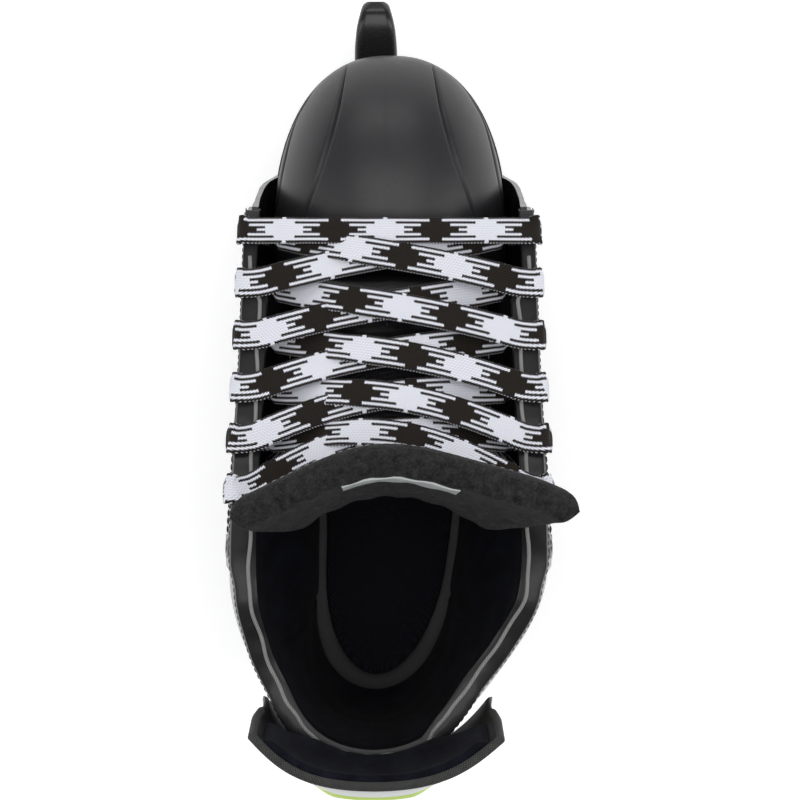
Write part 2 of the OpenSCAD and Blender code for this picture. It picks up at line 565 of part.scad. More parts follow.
// The plastic tip that binds the end of the lace.
module aglet(side) {
    route = end_points(side);
    n = len(route) - 1;
    ahead = unit(route[n] - route[n - 1]);
    color([0.7, 0.72, 0.75]) tube([for (k = [0:3]) route[n] + ahead * (gap / 3 + 7 * k)], end_r);
}

// ---- Holder, runner and their fasteners -----------------------------------------------------------------
beam_low = runner_show;
beam_top = beam_low + 16;
nose_x = toe_x + nose_reach;
tail_x = heel_x - 2;
flange_z = -outsole_thick - gap;
front_rivets = [for (p = [[20, 20.5], [44, 23], [72, 24], [98, 20.5]], s = [1, -1])
    [toe_x - 130 + p[0], s * p[1] * wide]];
rear_rivets = [for (p = [[27, 12], [45, 15.5], [62, 16.5]], s = [1, -1]) [heel_x + p[0], s * p[1] * wide]];
// Places what is drawn along +Z on a rivet's axis, square to the sole: 0 is the sole's underside.
module at_rivet(p) {
    translate([0, 0, sole_height]) rotate([0, pitch, 0]) translate([p[0], p[1], 0]) children();
}
module sole_slab(from_x, to_x, half, low, top) {
    translate([0, 0, sole_height]) rotate([0, pitch, 0])
        translate([from_x, -half, low]) cube([to_x - from_x, 2 * half, top - low]);
}
// A hollow post from the flange down to the beam; top and foot are [from x, to x, half width].
module post(top, foot, reach_up) {
    hull() {
        sole_slab(top[0], top[1], top[2], flange_z - flange_thick - 1, flange_z - flange_thick + reach_up);
        translate([foot[0], -foot[2], beam_top - 6]) cube([foot[1] - foot[0], 2 * foot[2], 1]);
    }
}
front_post = [toe_x - 118, toe_x - 24];
rear_post = [heel_x + 8, heel_x + 74];
nose_root = 9;        // half width of the nose where it leaves the toe
module beam() {
    points = [[tail_x + 4, beam_low], [nose_x - 22, beam_low], [nose_x - 8, beam_low + 4], [nose_x - 2, beam_low + 12],
              [nose_x, beam_low + 22], [nose_x - 3, beam_low + 27], [nose_x - 10, beam_low + 28],
              [nose_x - 24, beam_low + 24], [nose_x - 40, beam_top + 2], [tail_x + 12, beam_top + 2],
              [tail_x + 2, beam_top - 3], [tail_x, beam_low + 6]];
    halves = [[tail_x, 5], [tail_x + 6, beam_width / 2], [toe_x - 34, beam_width / 2], [toe_x - 6, nose_root],
              [nose_x - 12, nose_root - 0.8], [nose_x - 4, nose_root - 2.6], [nose_x - 1, nose_root - 3.8],
              [nose_x, nose_root - 5.4]];
    intersection() {
        translate([0, 50, 0]) rotate([90, 0, 0]) linear_extrude(height = 100) polygon(points);
        linear_extrude(height = 100)
            polygon(concat(halves, [for (k = [len(halves) - 1:-1:0]) [halves[k][0], -halves[k][1]]]));
    }
}
post_foot = beam_width / 2 - 0.5;
module holder() {
    color([0.05, 0.05, 0.05]) difference() {
        union() {
            beam();
            post([front_post[0] + 8, front_post[1] - 8, 15], [front_post[0] + 16, front_post[1] + 4, post_foot], 0.5);
            post([rear_post[0] + 6, rear_post[1] - 6, post_foot + 0.5],
                 [rear_post[0] - 2, rear_post[1] - 12, post_foot], 0.5);
            intersection() {
                sole_plate(flange_z - flange_thick, flange_z, 7);
                union() {
                    sole_slab(front_post[0], front_post[1], 90, -20, 0);
                    sole_slab(rear_post[0], rear_post[1], 90, -20, 0);
                }
            }
        }
        post([front_post[0] + 14, front_post[1] - 14, 11],
             [front_post[0] + 24, front_post[1] - 4, 3.6], flange_thick + 1);
        post([rear_post[0] + 12, rear_post[1] - 12, 4],
             [rear_post[0] + 6, rear_post[1] - 20, 3.6], flange_thick + 1);
        runner_slot();
        rivet_holes(concat(front_rivets, rear_rivets));
        for (x = stud_xs) translate([x, 0, beam_low]) cylinder(h = 40, r = stud_r + clearance / 2, $fn = 32);
    }
}
runner_front = nose_x - 5;
runner_rear = tail_x + 5;
runner_top = beam_low + 11;
rocker_r = 2740;
// Underside of the runner: flat in the middle, then the rocker, then the rounded ends.
function rocker(x) =
    let (past = max(abs(x) - runner_flat / 2, 0), fore = max(x - (runner_front - 26), 0),
         aft = max(runner_rear + 14 - x, 0))
    past * past / (2 * rocker_r) + 26 * (1 - sqrt(1 - pow(min(fore, 25.5) / 26, 2))) + aft * aft / 26;
module runner_profile(grow) {
    xs = concat(steps(runner_rear, runner_rear + 14, 5), [-runner_flat / 2, runner_flat / 2],
                steps(runner_flat / 2 + 12, runner_front - 26, 5),
                [for (k = [1:7]) runner_front - 26 + 25.5 * sin(90 * k / 7)]);
    polygon(concat([for (x = xs) [x, rocker(x)]],
        [[runner_front + grow, runner_top - 6], [runner_front - 5, runner_top + grow],
         [runner_rear + 4, runner_top + grow], [runner_rear - grow, runner_top - 4]]));
}
module runner() {
    color([0.75, 0.76, 0.78]) difference() {
        translate([0, runner_thick / 2, 0]) rotate([90, 0, 0])
            linear_extrude(height = runner_thick) runner_profile(0);
        for (x = stud_xs) translate([x - 4, -5, runner_top - 5]) cube([8, 10, 10]);
    }
}
module runner_slot() {
    width = runner_thick + 2 * clearance;
    translate([0, width / 2, 0]) rotate([90, 0, 0]) linear_extrude(height = width)
        difference() {
            runner_profile(0.4);
            translate([-400, -1]) square([800, beam_low - 2]);
        }
}
stud_xs = [rear_post[0] + 26, front_post[0] + 62];
stud_r = 2;
module runner_studs() {
    color([0.6, 0.6, 0.62]) for (x = stud_xs) union() {
        translate([x, 0, runner_top - 5 + gap]) cylinder(h = 22, r = stud_r, $fn = 32);
        translate([x - 3.8, -runner_thick / 2, runner_top - 5 + gap]) cube([7.6, runner_thick, 3.6]);
    }
}
module runner_nuts() {
    color([0.7, 0.7, 0.7]) for (x = stud_xs) translate([x, 0, beam_top - 6 + gap]) difference() {
        cylinder(h = 4, r = 3.3, $fn = 6);
        translate([0, 0, -1]) cylinder(h = 6, r = stud_r + 0.05, $fn = 32);
    }
}
module rivets(points) {
    bottom = flange_z - flange_thick - gap;
    top = board_thick + gap / 2;
    color([0.62, 0.63, 0.65]) for (p = points) at_rivet(p) {
        translate([0, 0, bottom - 1.2]) cylinder(h = 1.2, r1 = rivet_r + 1, r2 = rivet_r + 2.2, $fn = 40);
        translate([0, 0, bottom - 0.1]) cylinder(h = top - bottom + 0.2, r = rivet_r, $fn = 40);
        translate([0, 0, top]) cylinder(h = rivet_head_t - gap, r = rivet_r + 1.6, $fn = 40);
    }
}

outsole();
insole_board();
footbed();
toe_cap();
toe_lining();
quarter(1);  // quarter_medial
quarter(-1);  // quarter_lateral
back_stay();
foam(1);  // foam_medial
foam(-1);  // foam_lateral
lining(1);  // lining_medial
lining(-1);  // lining_lateral
facing(1);  // facing_medial
facing(-1);  // facing_lateral
eyelets(1);  // eyelets_medial
eyelets(-1);  // eyelets_lateral
binding(1);  // binding_medial
binding(-1);  // binding_lateral
tendon_guard();
guard_lining_part();  // guard_lining
guard_panel();
tongue_felt_lower();
tongue_cover_lower();
tongue_felt_upper();
tongue_cover_upper();
tongue_label();
lace();
lace_end(1);  // lace_end_medial
lace_end(-1);  // lace_end_lateral
aglet(1);  // aglet_medial
aglet(-1);  // aglet_lateral
holder();
runner();
runner_studs();
runner_nuts();
rivets(front_rivets);  // rivets_front
rivets(rear_rivets);  // rivets_rear
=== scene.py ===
"""Looks of a right-foot ice hockey skate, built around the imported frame.

Shapes are worked out in millimetres from the same driving sizes as the design, and become metres in add_mesh.
X runs to the toe, Y to the inner (medial) side, Z up. On the boot's wall a place is (u, v): u runs from -1 at
the outer side's front edge, round the heel at 0, to 1 at the inner side's front edge, and v from sole to rim.
"""
import math

import bmesh
import bpy
import numpy as np
from mathutils import Matrix, Vector


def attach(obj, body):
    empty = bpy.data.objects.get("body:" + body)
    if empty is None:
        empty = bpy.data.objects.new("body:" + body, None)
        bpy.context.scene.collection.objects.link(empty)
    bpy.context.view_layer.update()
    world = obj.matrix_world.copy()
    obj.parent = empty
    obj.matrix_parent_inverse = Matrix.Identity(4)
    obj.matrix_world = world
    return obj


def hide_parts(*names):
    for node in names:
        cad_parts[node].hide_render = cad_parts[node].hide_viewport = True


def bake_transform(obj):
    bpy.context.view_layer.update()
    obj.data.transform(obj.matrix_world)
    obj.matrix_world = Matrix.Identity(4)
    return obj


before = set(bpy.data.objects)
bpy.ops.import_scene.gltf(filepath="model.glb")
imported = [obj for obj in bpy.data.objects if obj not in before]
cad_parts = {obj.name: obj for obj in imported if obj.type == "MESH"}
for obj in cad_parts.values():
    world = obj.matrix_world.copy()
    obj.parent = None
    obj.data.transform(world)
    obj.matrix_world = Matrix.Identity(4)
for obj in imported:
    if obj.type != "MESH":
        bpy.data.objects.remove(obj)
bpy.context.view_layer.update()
MM = 0.001

# ---- Driving sizes, in millimetres -------------------------------------------------------------------------
BOOT_LENGTH = 276
TOE_WIDTH = 99
COLLAR_HEIGHT = 144
SOLE_HEIGHT = 66
PITCH = 3
SHELL_WALL = 2.6
FOAM_WALL = 3.2
LINING_WALL = 1.2
GAP = 0.15
INNER_WALL = SHELL_WALL + FOAM_WALL + LINING_WALL + 2 * GAP
TOE_WALL = 2.8
EYELET_COUNT = 7
LACED_COUNT = 6
EYELET_PITCH = 22
EYELET_DROP = 11
EYELET_BORE_R = 2.5
FACING_GAP = 0.35
FACING_WALL = 1.6
FACING_DEPTH = 22
LACE_WIDTH = 12
LACE_THICK = 1.4
FLANGE_T = 0.7
GUARD_HEIGHT = 190
RUNNER_SHOW = 20
RUNNER_FLAT = 60
RUNNER_THICK = 3
BEAM_WIDTH = 15
NOSE_REACH = 19
BEAM_HEIGHT = 16

HEEL_X = -0.493 * BOOT_LENGTH
TOE_X = HEEL_X + BOOT_LENGTH
HEEL_DEPTH = 45
HEEL_SHARE = 0.34
REAR_X = HEEL_X + HEEL_DEPTH
RIM_FRONT_X = TOE_X - 62
LEAN = 8
TOE_HALF = TOE_WIDTH / 2
SLUMP = 4


# ---- Curves ------------------------------------------------------------------------------------------------
def ease(t):
    c = np.clip(t, 0, 1)
    return c * c * (3 - 2 * c)


def mix(a, b, t):
    return a * (1 - t) + b * t


def curve(points, x):
    """Smooth curve through the points (x, value), level past both ends. The values may be arrays."""
    x = np.asarray(x, float)
    xs = np.array([p[0] for p in points], float)
    ys = [np.broadcast_to(np.asarray(p[1], float), x.shape) for p in points]
    ys = np.stack(ys)
    first = np.maximum(np.arange(len(xs)) - 1, 0)
    last = np.minimum(np.arange(len(xs)) + 1, len(xs) - 1)
    spans = (xs[last] - xs[first]).reshape((-1,) + (1,) * x.ndim)
    slopes = (ys[last] - ys[first]) / spans
    i = np.clip(np.searchsorted(xs, x, side="right") - 1, 0, len(xs) - 2)
    w = xs[i + 1] - xs[i]
    t = np.clip((x - xs[i]) / w, 0, 1)
    y0, y1 = np.take_along_axis(ys, i[None], 0)[0], np.take_along_axis(ys, i[None] + 1, 0)[0]
    m0, m1 = np.take_along_axis(slopes, i[None], 0)[0], np.take_along_axis(slopes, i[None] + 1, 0)[0]
    rise = (3 - 2 * t) * t * t * (y1 - y0)
    return y0 + rise + t * (1 - t) * w * ((1 - t) * m0 - t * m1)


def along(points):
    """Points given as (share of the boot's length from the heel, value)."""
    return [(HEEL_X + share * BOOT_LENGTH, value) for share, value in points]


def unit(v):
    v = np.asarray(v, float)
    return v / np.maximum(np.linalg.norm(v, axis=-1, keepdims=True), 1e-12)


def stack(x, y, z):
    return np.stack(np.broadcast_arrays(x, y, z), axis=-1).astype(float)


def quarter_round(t, least=0.0):
    """A quarter circle's rise from 0 to 1, for the rounded edge of a soft or moulded piece."""
    return np.sqrt(np.clip(1 - (1 - np.clip(t, 0, 1)) ** 2, least, 1))


def run_length(points):
    """How far along the points each one lies."""
    return np.concatenate([[0], np.cumsum(np.linalg.norm(np.diff(points, axis=0), axis=1))])


def grid(first, second):
    return np.meshgrid(first, second, indexing="ij")


SOLE_LINE = along([(0, 33), (0.2, 34.5), (0.4, 38.5), (0.6, 46.5), (0.72, 48.5), (0.84, 47.5)])
LOW_LINE = along([(0, 37.5), (0.16, 38), (0.3, 40.5), (0.45, 46.5), (0.6, 52), (0.72, 53.6), (0.84, 52.5)])
HIGH_LINE = along([(0, 38), (0.12, 46), (0.2, 56), (0.27, 60.5), (0.4, 59.5), (0.55, 57), (0.72, 55.4),
                   (0.84, 54.2)])
RIM_LINE = along([(0, 37), (0.12, 41.5), (0.19, 50), (0.27, 56.5), (0.4, 57.5), (0.55, 56.3), (0.72, 55.2),
                  (0.84, 54)])
RIM_CURVE = along([(0, 141), (0.07, 139), (0.14, 137), (0.2, 139.5), (0.26, 144), (0.31, 142.5),
                   (0.36, 135.5), (0.43, 121), (0.53, 103.5), (0.64, 88.5), (0.735, 77), (0.765, 71),
                   (0.79, 62), (0.81, 50)])
HEEL_CURVE = [(0, 3), (28, -1.5), (60, 0), (95, 5), (120, 7.5), (142, 8), (165, 10.5), (190, 17), (230, 27)]


def sole_at(x):
    return SOLE_HEIGHT - x * math.tan(math.radians(PITCH))


def swing(x):
    """The boot's middle line: over the runner at the heel, and towards the outer side in front of it."""
    return -6 * ease((np.asarray(x, float) - HEEL_X) / 90)


def rim_at(x):
    return curve(RIM_CURVE, x)


def rim_z(x):
    return sole_at(x) + rim_at(x)


def front_x(v):
    return RIM_FRONT_X + LEAN * (1 - v) + 1


def wall_half(x, v):
    levels = ((0, SOLE_LINE), (0.3, LOW_LINE), (0.72, HIGH_LINE), (1, RIM_LINE))
    return curve([(share, curve(line, x)) for share, line in levels], v)


def turn_angle(t):
    return np.radians(90) * np.minimum(t / HEEL_SHARE, 1)


def wall_x(t, v):
    heel = HEEL_X + HEEL_DEPTH * (1 - np.cos(turn_angle(t)))
    side = REAR_X + (front_x(v) - REAR_X) * (t - HEEL_SHARE) / (1 - HEEL_SHARE)
    return np.where(t < HEEL_SHARE, heel, side)


def wall_point(u, v, lift=0.0, slump=SLUMP):
    u, v, lift = np.broadcast_arrays(np.asarray(u, float), np.asarray(v, float), np.asarray(lift, float))
    t = np.abs(u)
    x = wall_x(t, v)
    h = v * rim_at(x) + lift
    shifted = x + curve(HEEL_CURVE, h) * np.cos(turn_angle(t)) ** 2
    y = np.sign(u) * wall_half(x, v) * np.sin(turn_angle(t)) + swing(shifted)
    # The outer side's collar is soft and folds inwards a little towards the heel.
    fold = slump * ease((v - 0.72) / 0.28) * ease((t - 0.12) / 0.1) * ease((0.46 - t) / 0.16) * (u < 0)
    return stack(shifted, y + fold, sole_at(shifted) + h)


def wall_normal(u, v, slump=SLUMP):
    u, v = np.broadcast_arrays(np.asarray(u, float), np.asarray(v, float))
    step = 0.01
    rise = wall_point(u, np.minimum(v + step, 1), 0, slump) - wall_point(u, np.maximum(v - step, 0), 0, slump)
    run = wall_point(np.minimum(u + step, 1), v, 0, slump) - wall_point(np.maximum(u - step, -1), v, 0, slump)
    return unit(np.cross(rise, run))


def wall(u, v, depth, lift=0.0, slump=SLUMP):
    """A point depth mm inside the wall's outer face, and lift mm higher."""
    return wall_point(u, v, lift, slump) - np.asarray(depth, float)[..., None] * wall_normal(u, v, slump)


def wall_u(x, v=1.0):
    return HEEL_SHARE + (1 - HEEL_SHARE) * (x - REAR_X) / (front_x(v) - REAR_X)


def level(x, drop):
    """Level v of a point that lies drop mm below the rim at station x."""
    return 1 - drop / rim_at(x)


def rim_slope(x):
    return (rim_z(x - 1) - rim_z(x + 1)) / 2


def eyelet_stations():
    xs = [TOE_X - 73]
    while len(xs) < EYELET_COUNT:
        x = xs[-1]
        xs.append(float(x - EYELET_PITCH / math.sqrt(1 + rim_slope(x - EYELET_PITCH / 2.4) ** 2)))
    return xs


EYELET_XS = eyelet_stations()
FACING_REAR = float(wall_u(EYELET_XS[-1] - 9))


def eyelet_uv(i):
    x = EYELET_XS[i]
    v = float(level(x, EYELET_DROP))
    return float(wall_u(x, v)), v


# ---- Meshes ------------------------------------------------------------------------------------------------
def add_mesh(name, points, faces, uvs=None, sharp=40):
    """A mesh from points in millimetres; uvs holds one (u, v) for each point."""
    mesh = bpy.data.meshes.new(name)
    mesh.from_pydata((np.asarray(points, float) * MM).tolist(), [], faces)
    mesh.validate()
    if uvs is not None:
        layer = mesh.uv_layers.new(name="place")
        index = np.empty(len(mesh.loops), dtype=np.int32)
        mesh.loops.foreach_get("vertex_index", index)
        layer.data.foreach_set("uv", np.asarray(uvs, np.float32)[index].ravel())
    mesh.shade_smooth()
    if sharp:
        mesh.set_sharp_from_angle(angle=math.radians(sharp))
    thing = bpy.data.objects.new(name, mesh)
    bpy.context.collection.objects.link(thing)
    return thing


def face_outwards(thing):
    """Turns the faces of a closed mesh outwards."""
    bm = bmesh.new()
    bm.from_mesh(thing.data)
    bmesh.ops.recalc_face_normals(bm, faces=bm.faces)
    bm.to_mesh(thing.data)
    bm.free()
    return thing


def ring_faces(rings, count, start=0, caps=True):
    faces = []
    for i in range(rings - 1):
        for j in range(count):
            a = start + i * count + j
            b = start + i * count + (j + 1) % count
            faces.append((a, b, b + count, a + count))
    if caps:
        faces.append(tuple(start + j for j in range(count)))
        faces.append(tuple(start + (rings - 1) * count + j for j in reversed(range(count))))
    return faces


def loft(name, rings, sharp=40):
    """A closed solid through rings of points; its UVs are the lengths along it and round it, in mm."""
    rings = np.asarray(rings, float)
    n, m = rings.shape[:2]
    middle = rings.mean(axis=1)
    run = run_length(middle)
    closed = np.concatenate([rings, rings[:, :1]], axis=1)
    around = run_length(closed[n // 2])[:m]
    uvs = np.stack([np.repeat(run, m), np.tile(around, n)], axis=1)
    return face_outwards(add_mesh(name, rings.reshape(-1, 3), ring_faces(n, m), uvs, sharp))


def tube(name, centre, across, up, sides):
    """A round or oval tube along the centre points; across and up hold its half width and half height."""
    rings = [centre + math.cos(a) * across + math.sin(a) * up
             for a in np.linspace(0, 2 * math.pi, sides, endpoint=False)]
    return loft(name, np.stack(rings, axis=1), sharp=None)


def slab(name, outer, inner, uvs=None, sharp=40):
    """A closed solid between two grids of points with the same shape."""
    n, m = outer.shape[:2]
    rings = np.concatenate([outer, inner[:, ::-1]], axis=1)
    if uvs is None:
        run, rise = run_length(outer[:, m // 2]), run_length(outer[n // 2])
        uvs = stack(run[:, None], rise[None, :], 0)[..., :2]
    both = np.concatenate([uvs, uvs[:, ::-1]], axis=1)
    faces = ring_faces(n, 2 * m, caps=False)
    for ring, turn in ((0, 1), ((n - 1) * 2 * m, -1)):
        for j in range(m - 1):
            corners = (ring + j, ring + j + 1, ring + 2 * m - 2 - j, ring + 2 * m - 1 - j)
            faces.append(corners[::turn])
    return face_outwards(add_mesh(name, rings.reshape(-1, 3), faces, both.reshape(-1, 2), sharp))


def join(name, things):
    """One object from several."""
    with bpy.context.temp_override(active_object=things[0], selected_editable_objects=things):
        bpy.ops.object.join()
    things[0].name = name
    return things[0]


def stitches(name, path, normals, length=2.3, space=1.1, radius=0.34, sink=0.1):
    """A row of thread stitches along a path: small spindles that dip into the leather at their ends."""
    path = np.asarray(path, float)
    run = run_length(path)
    starts = np.arange(space, run[-1] - length, length + space)
    profile = [(0.0, 0.45, -0.25), (0.12, 0.85, -0.05), (0.5, 1.0, 0.1), (0.88, 0.85, -0.05),
               (1.0, 0.45, -0.25)]
    points, faces = [], []

    def at(values, s):
        return np.array([np.interp(s, run, values[:, k]) for k in range(3)])

    for s in starts:
        ahead = unit(at(path, s + length) - at(path, s))
        base = len(points)
        for share, size, rise in profile:
            out = unit(at(np.asarray(normals, float), s + share * length))
            side = unit(np.cross(ahead, out))
            centre = at(path, s + share * length) + out * (radius * (rise + 0.6) - sink)
            for k in range(6):
                angle = math.pi * k / 3
                points.append(centre + radius * size * (math.cos(angle) * side + math.sin(angle) * out))
        faces += ring_faces(len(profile), 6, base)
    return add_mesh(name, points, faces, sharp=None)


def lathe(profile, centre, axis, name, sides=40):
    """A turned ring: the profile holds (radius, height along the axis) and is closed."""
    axis = unit(axis)
    side = unit(np.cross(axis, [1.0, 0.2, 0.1]))
    other = np.cross(axis, side)
    rings = []
    for k in range(sides):
        angle = 2 * math.pi * k / sides
        out = math.cos(angle) * side + math.sin(angle) * other
        rings.append([np.asarray(centre) + r * out + h * axis for r, h in profile])
    n, m = sides, len(profile)
    faces = [(i * m + j, i * m + (j + 1) % m, (i + 1) % n * m + (j + 1) % m, (i + 1) % n * m + j)
             for i in range(n) for j in range(m)]
    return face_outwards(add_mesh(name, np.asarray(rings).reshape(-1, 3), faces, sharp=50))


# ---- Materials ---------------------------------------------------------------------------------------------
class Paint:
    """One material with short calls for its nodes. Sizes in its textures are in millimetres."""

    def __init__(self, name, **settings):
        self.material = bpy.data.materials.new(name)
        self.material.use_nodes = True
        self.tree = self.material.node_tree
        self.tree.nodes.clear()
        self.surface = self.add("ShaderNodeBsdfPrincipled")
        output = self.add("ShaderNodeOutputMaterial")
        self.tree.links.new(self.surface.outputs[0], output.inputs["Surface"])
        for socket, value in settings.items():
            self.surface.inputs[socket.replace("_", " ")].default_value = value
        texture = self.add("ShaderNodeTexCoord")
        scale = self.add("ShaderNodeVectorMath", operation="SCALE")
        self.tree.links.new(texture.outputs["Object"], scale.inputs[0])
        scale.inputs["Scale"].default_value = 1 / MM
        self.place = scale.outputs[0]
        self.uv = texture.outputs["UV"]

    def add(self, kind, **settings):
        node = self.tree.nodes.new(kind)
        for name, value in settings.items():
            setattr(node, name, value)
        return node

    def feed(self, socket, value):
        """Links or sets a socket; a plain colour of three numbers gets its fourth."""
        if isinstance(value, bpy.types.NodeSocket):
            self.tree.links.new(value, socket)
        else:
            socket.default_value = (*value, 1.0) if socket.type == "RGBA" else value

    def math(self, operation, a, b=0.0, c=None):
        node = self.add("ShaderNodeMath", operation=operation)
        self.feed(node.inputs[0], a)
        self.feed(node.inputs[1], b)
        if c is not None:
            self.feed(node.inputs[2], c)
        return node.outputs[0]

    def noise(self, size, detail=2.0, roughness=0.5, where=None, stretch=None):
        """Noise with cells about size mm across, from 0 to 1."""
        where = self.place if where is None else where
        if stretch is not None:
            node = self.add("ShaderNodeVectorMath", operation="MULTIPLY")
            self.feed(node.inputs[0], where)
            node.inputs[1].default_value = stretch
            where = node.outputs[0]
        node = self.add("ShaderNodeTexNoise")
        self.feed(node.inputs["Vector"], where)
        node.inputs["Scale"].default_value = 1 / size
        node.inputs["Detail"].default_value = detail
        node.inputs["Roughness"].default_value = roughness
        return node.outputs["Fac"]

    def cells(self, size, feature="F1", where=None):
        node = self.add("ShaderNodeTexVoronoi", feature=feature)
        self.feed(node.inputs["Vector"], self.place if where is None else where)
        node.inputs["Scale"].default_value = 1 / size
        return node.outputs["Distance"]

    def band(self, value, low, high, to_low=0.0, to_high=1.0):
        """Maps value from low..high to to_low..to_high, clamped."""
        node = self.add("ShaderNodeMapRange")
        for socket, number in zip(node.inputs, (value, low, high, to_low, to_high)):
            self.feed(socket, number)
        return node.outputs[0]

    def mix(self, factor, a, b):
        node = self.add("ShaderNodeMix", data_type="RGBA")
        self.feed(node.inputs["Factor"], factor)
        self.feed(node.inputs[6], a)
        self.feed(node.inputs[7], b)
        return node.outputs[2]

    def split(self, vector):
        node = self.add("ShaderNodeSeparateXYZ")
        self.feed(node.inputs[0], vector)
        return node.outputs

    def bump(self, height, depth, strength=1.0, under=None):
        """Bump whose height of 1 stands depth mm high."""
        node = self.add("ShaderNodeBump")
        node.inputs["Strength"].default_value = strength
        node.inputs["Distance"].default_value = depth * MM
        self.feed(node.inputs["Height"], height)
        if under is not None:
            self.feed(node.inputs["Normal"], under)
        return node.outputs[0]

    def colour(self, value):
        self.feed(self.surface.inputs["Base Color"], value)

    def finish(self, roughness=None, normal=None):
        if roughness is not None:
            self.feed(self.surface.inputs["Roughness"], roughness)
        if normal is not None:
            self.feed(self.surface.inputs["Normal"], normal)
        return self.material


def moulded_plastic(name, tone, rough, grain=0.55, grain_depth=0.05):
    """Moulded plastic with a fine etched grain, faint flow marks and rubbed patches."""
    p = Paint(name, IOR=1.4)
    fine = p.noise(grain, 3.0, 0.6)
    cloud = p.noise(22.0, 3.0)
    rubbed = p.band(p.noise(7.0, 4.0, 0.7), 0.55, 0.8)
    p.colour(p.mix(cloud, [c * 0.8 for c in tone], [c * 1.25 for c in tone]))
    shine = p.math("MULTIPLY_ADD", rubbed, -0.08, p.band(fine, 0.3, 0.7, rough - 0.05, rough + 0.06))
    return p.finish(shine, p.bump(fine, grain_depth))


def patent_leather(name, tone, rough=0.2, crinkle=0.22):
    """Glossy coated leather: soft crinkles, fine grain and scuffs."""
    p = Paint(name, IOR=1.38, Coat_Weight=0.12, Coat_Roughness=0.12)
    folds = p.noise(9.0, 3.0, 0.55, stretch=(1.0, 1.0, 1.7))
    grain = p.cells(1.3, "SMOOTH_F1")
    fine = p.noise(0.5, 2.0)
    scuff = p.band(p.noise(3.0, 5.0, 0.75), 0.6, 0.75)
    p.colour(p.mix(scuff, tone, [c * 1.9 + 0.004 for c in tone]))
    relief = p.bump(folds, crinkle)
    relief = p.bump(grain, 0.05, 0.6, relief)
    relief = p.bump(fine, 0.02, 0.6, relief)
    dull = p.band(fine, 0.3, 0.7, rough - 0.04, rough + 0.06)
    return p.finish(p.math("MULTIPLY_ADD", scuff, 0.18, dull), relief)


def needled_felt(name, dark, light):
    """Needled felt: tangled fibres in two tones with light flecks, and a soft sheen."""
    p = Paint(name, Roughness=0.95, Sheen_Weight=0.08, Sheen_Roughness=0.5, IOR=1.15)
    tangle = p.noise(0.9, 6.0, 0.75)
    clump = p.noise(3.2, 5.0, 0.7)
    patch = p.noise(11.0, 3.0)
    fibres = p.noise(0.5, 3.0, 0.6, stretch=(3.0, 0.5, 1.0))
    amount = p.math("ADD", p.math("MULTIPLY", clump, 0.55), p.math("MULTIPLY", tangle, 0.45))
    base = p.mix(p.band(amount, 0.4, 0.62), dark, light)
    flecks = p.math("MULTIPLY", p.band(fibres, 0.64, 0.72), p.band(patch, 0.3, 0.6, 0.2, 0.8))
    p.colour(p.mix(flecks, base, [c * 2.4 for c in light]))
    relief = p.bump(clump, 0.9)
    relief = p.bump(tangle, 0.5, 1.0, relief)
    return p.finish(normal=relief)


def brushed_lining(name, dark, light):
    """Brushed microfibre: short nap with lighter stroke marks."""
    p = Paint(name, Roughness=0.9, Sheen_Weight=0.02, Sheen_Roughness=0.4, IOR=1.15)
    nap = p.noise(0.7, 4.0, 0.7)
    strokes = p.noise(9.0, 3.0, 0.6, stretch=(1.0, 1.0, 0.4))
    p.colour(p.mix(p.band(p.math("ADD", nap, strokes), 0.8, 1.25), dark, light))
    return p.finish(normal=p.bump(nap, 0.25))


def woven(name, dark, light, pitch=0.8, rough=0.75, depth=0.12, sheen=0.03):
    """Plain woven tape or cloth, from its UVs: threads over and under."""
    p = Paint(name, Roughness=rough, Sheen_Weight=sheen, IOR=1.25)
    u, v, _ = p.split(p.uv)
    angle = 2 * math.pi / pitch
    warp = p.math("SINE", p.math("MULTIPLY", u, angle))
    weft = p.math("SINE", p.math("MULTIPLY", v, angle))
    thread = p.math("MULTIPLY", warp, weft)
    slub = p.noise(2.5, 3.0)
    p.colour(p.mix(p.band(p.math("ADD", thread, slub), 0.0, 1.2), dark, light))
    return p.finish(normal=p.bump(thread, depth))


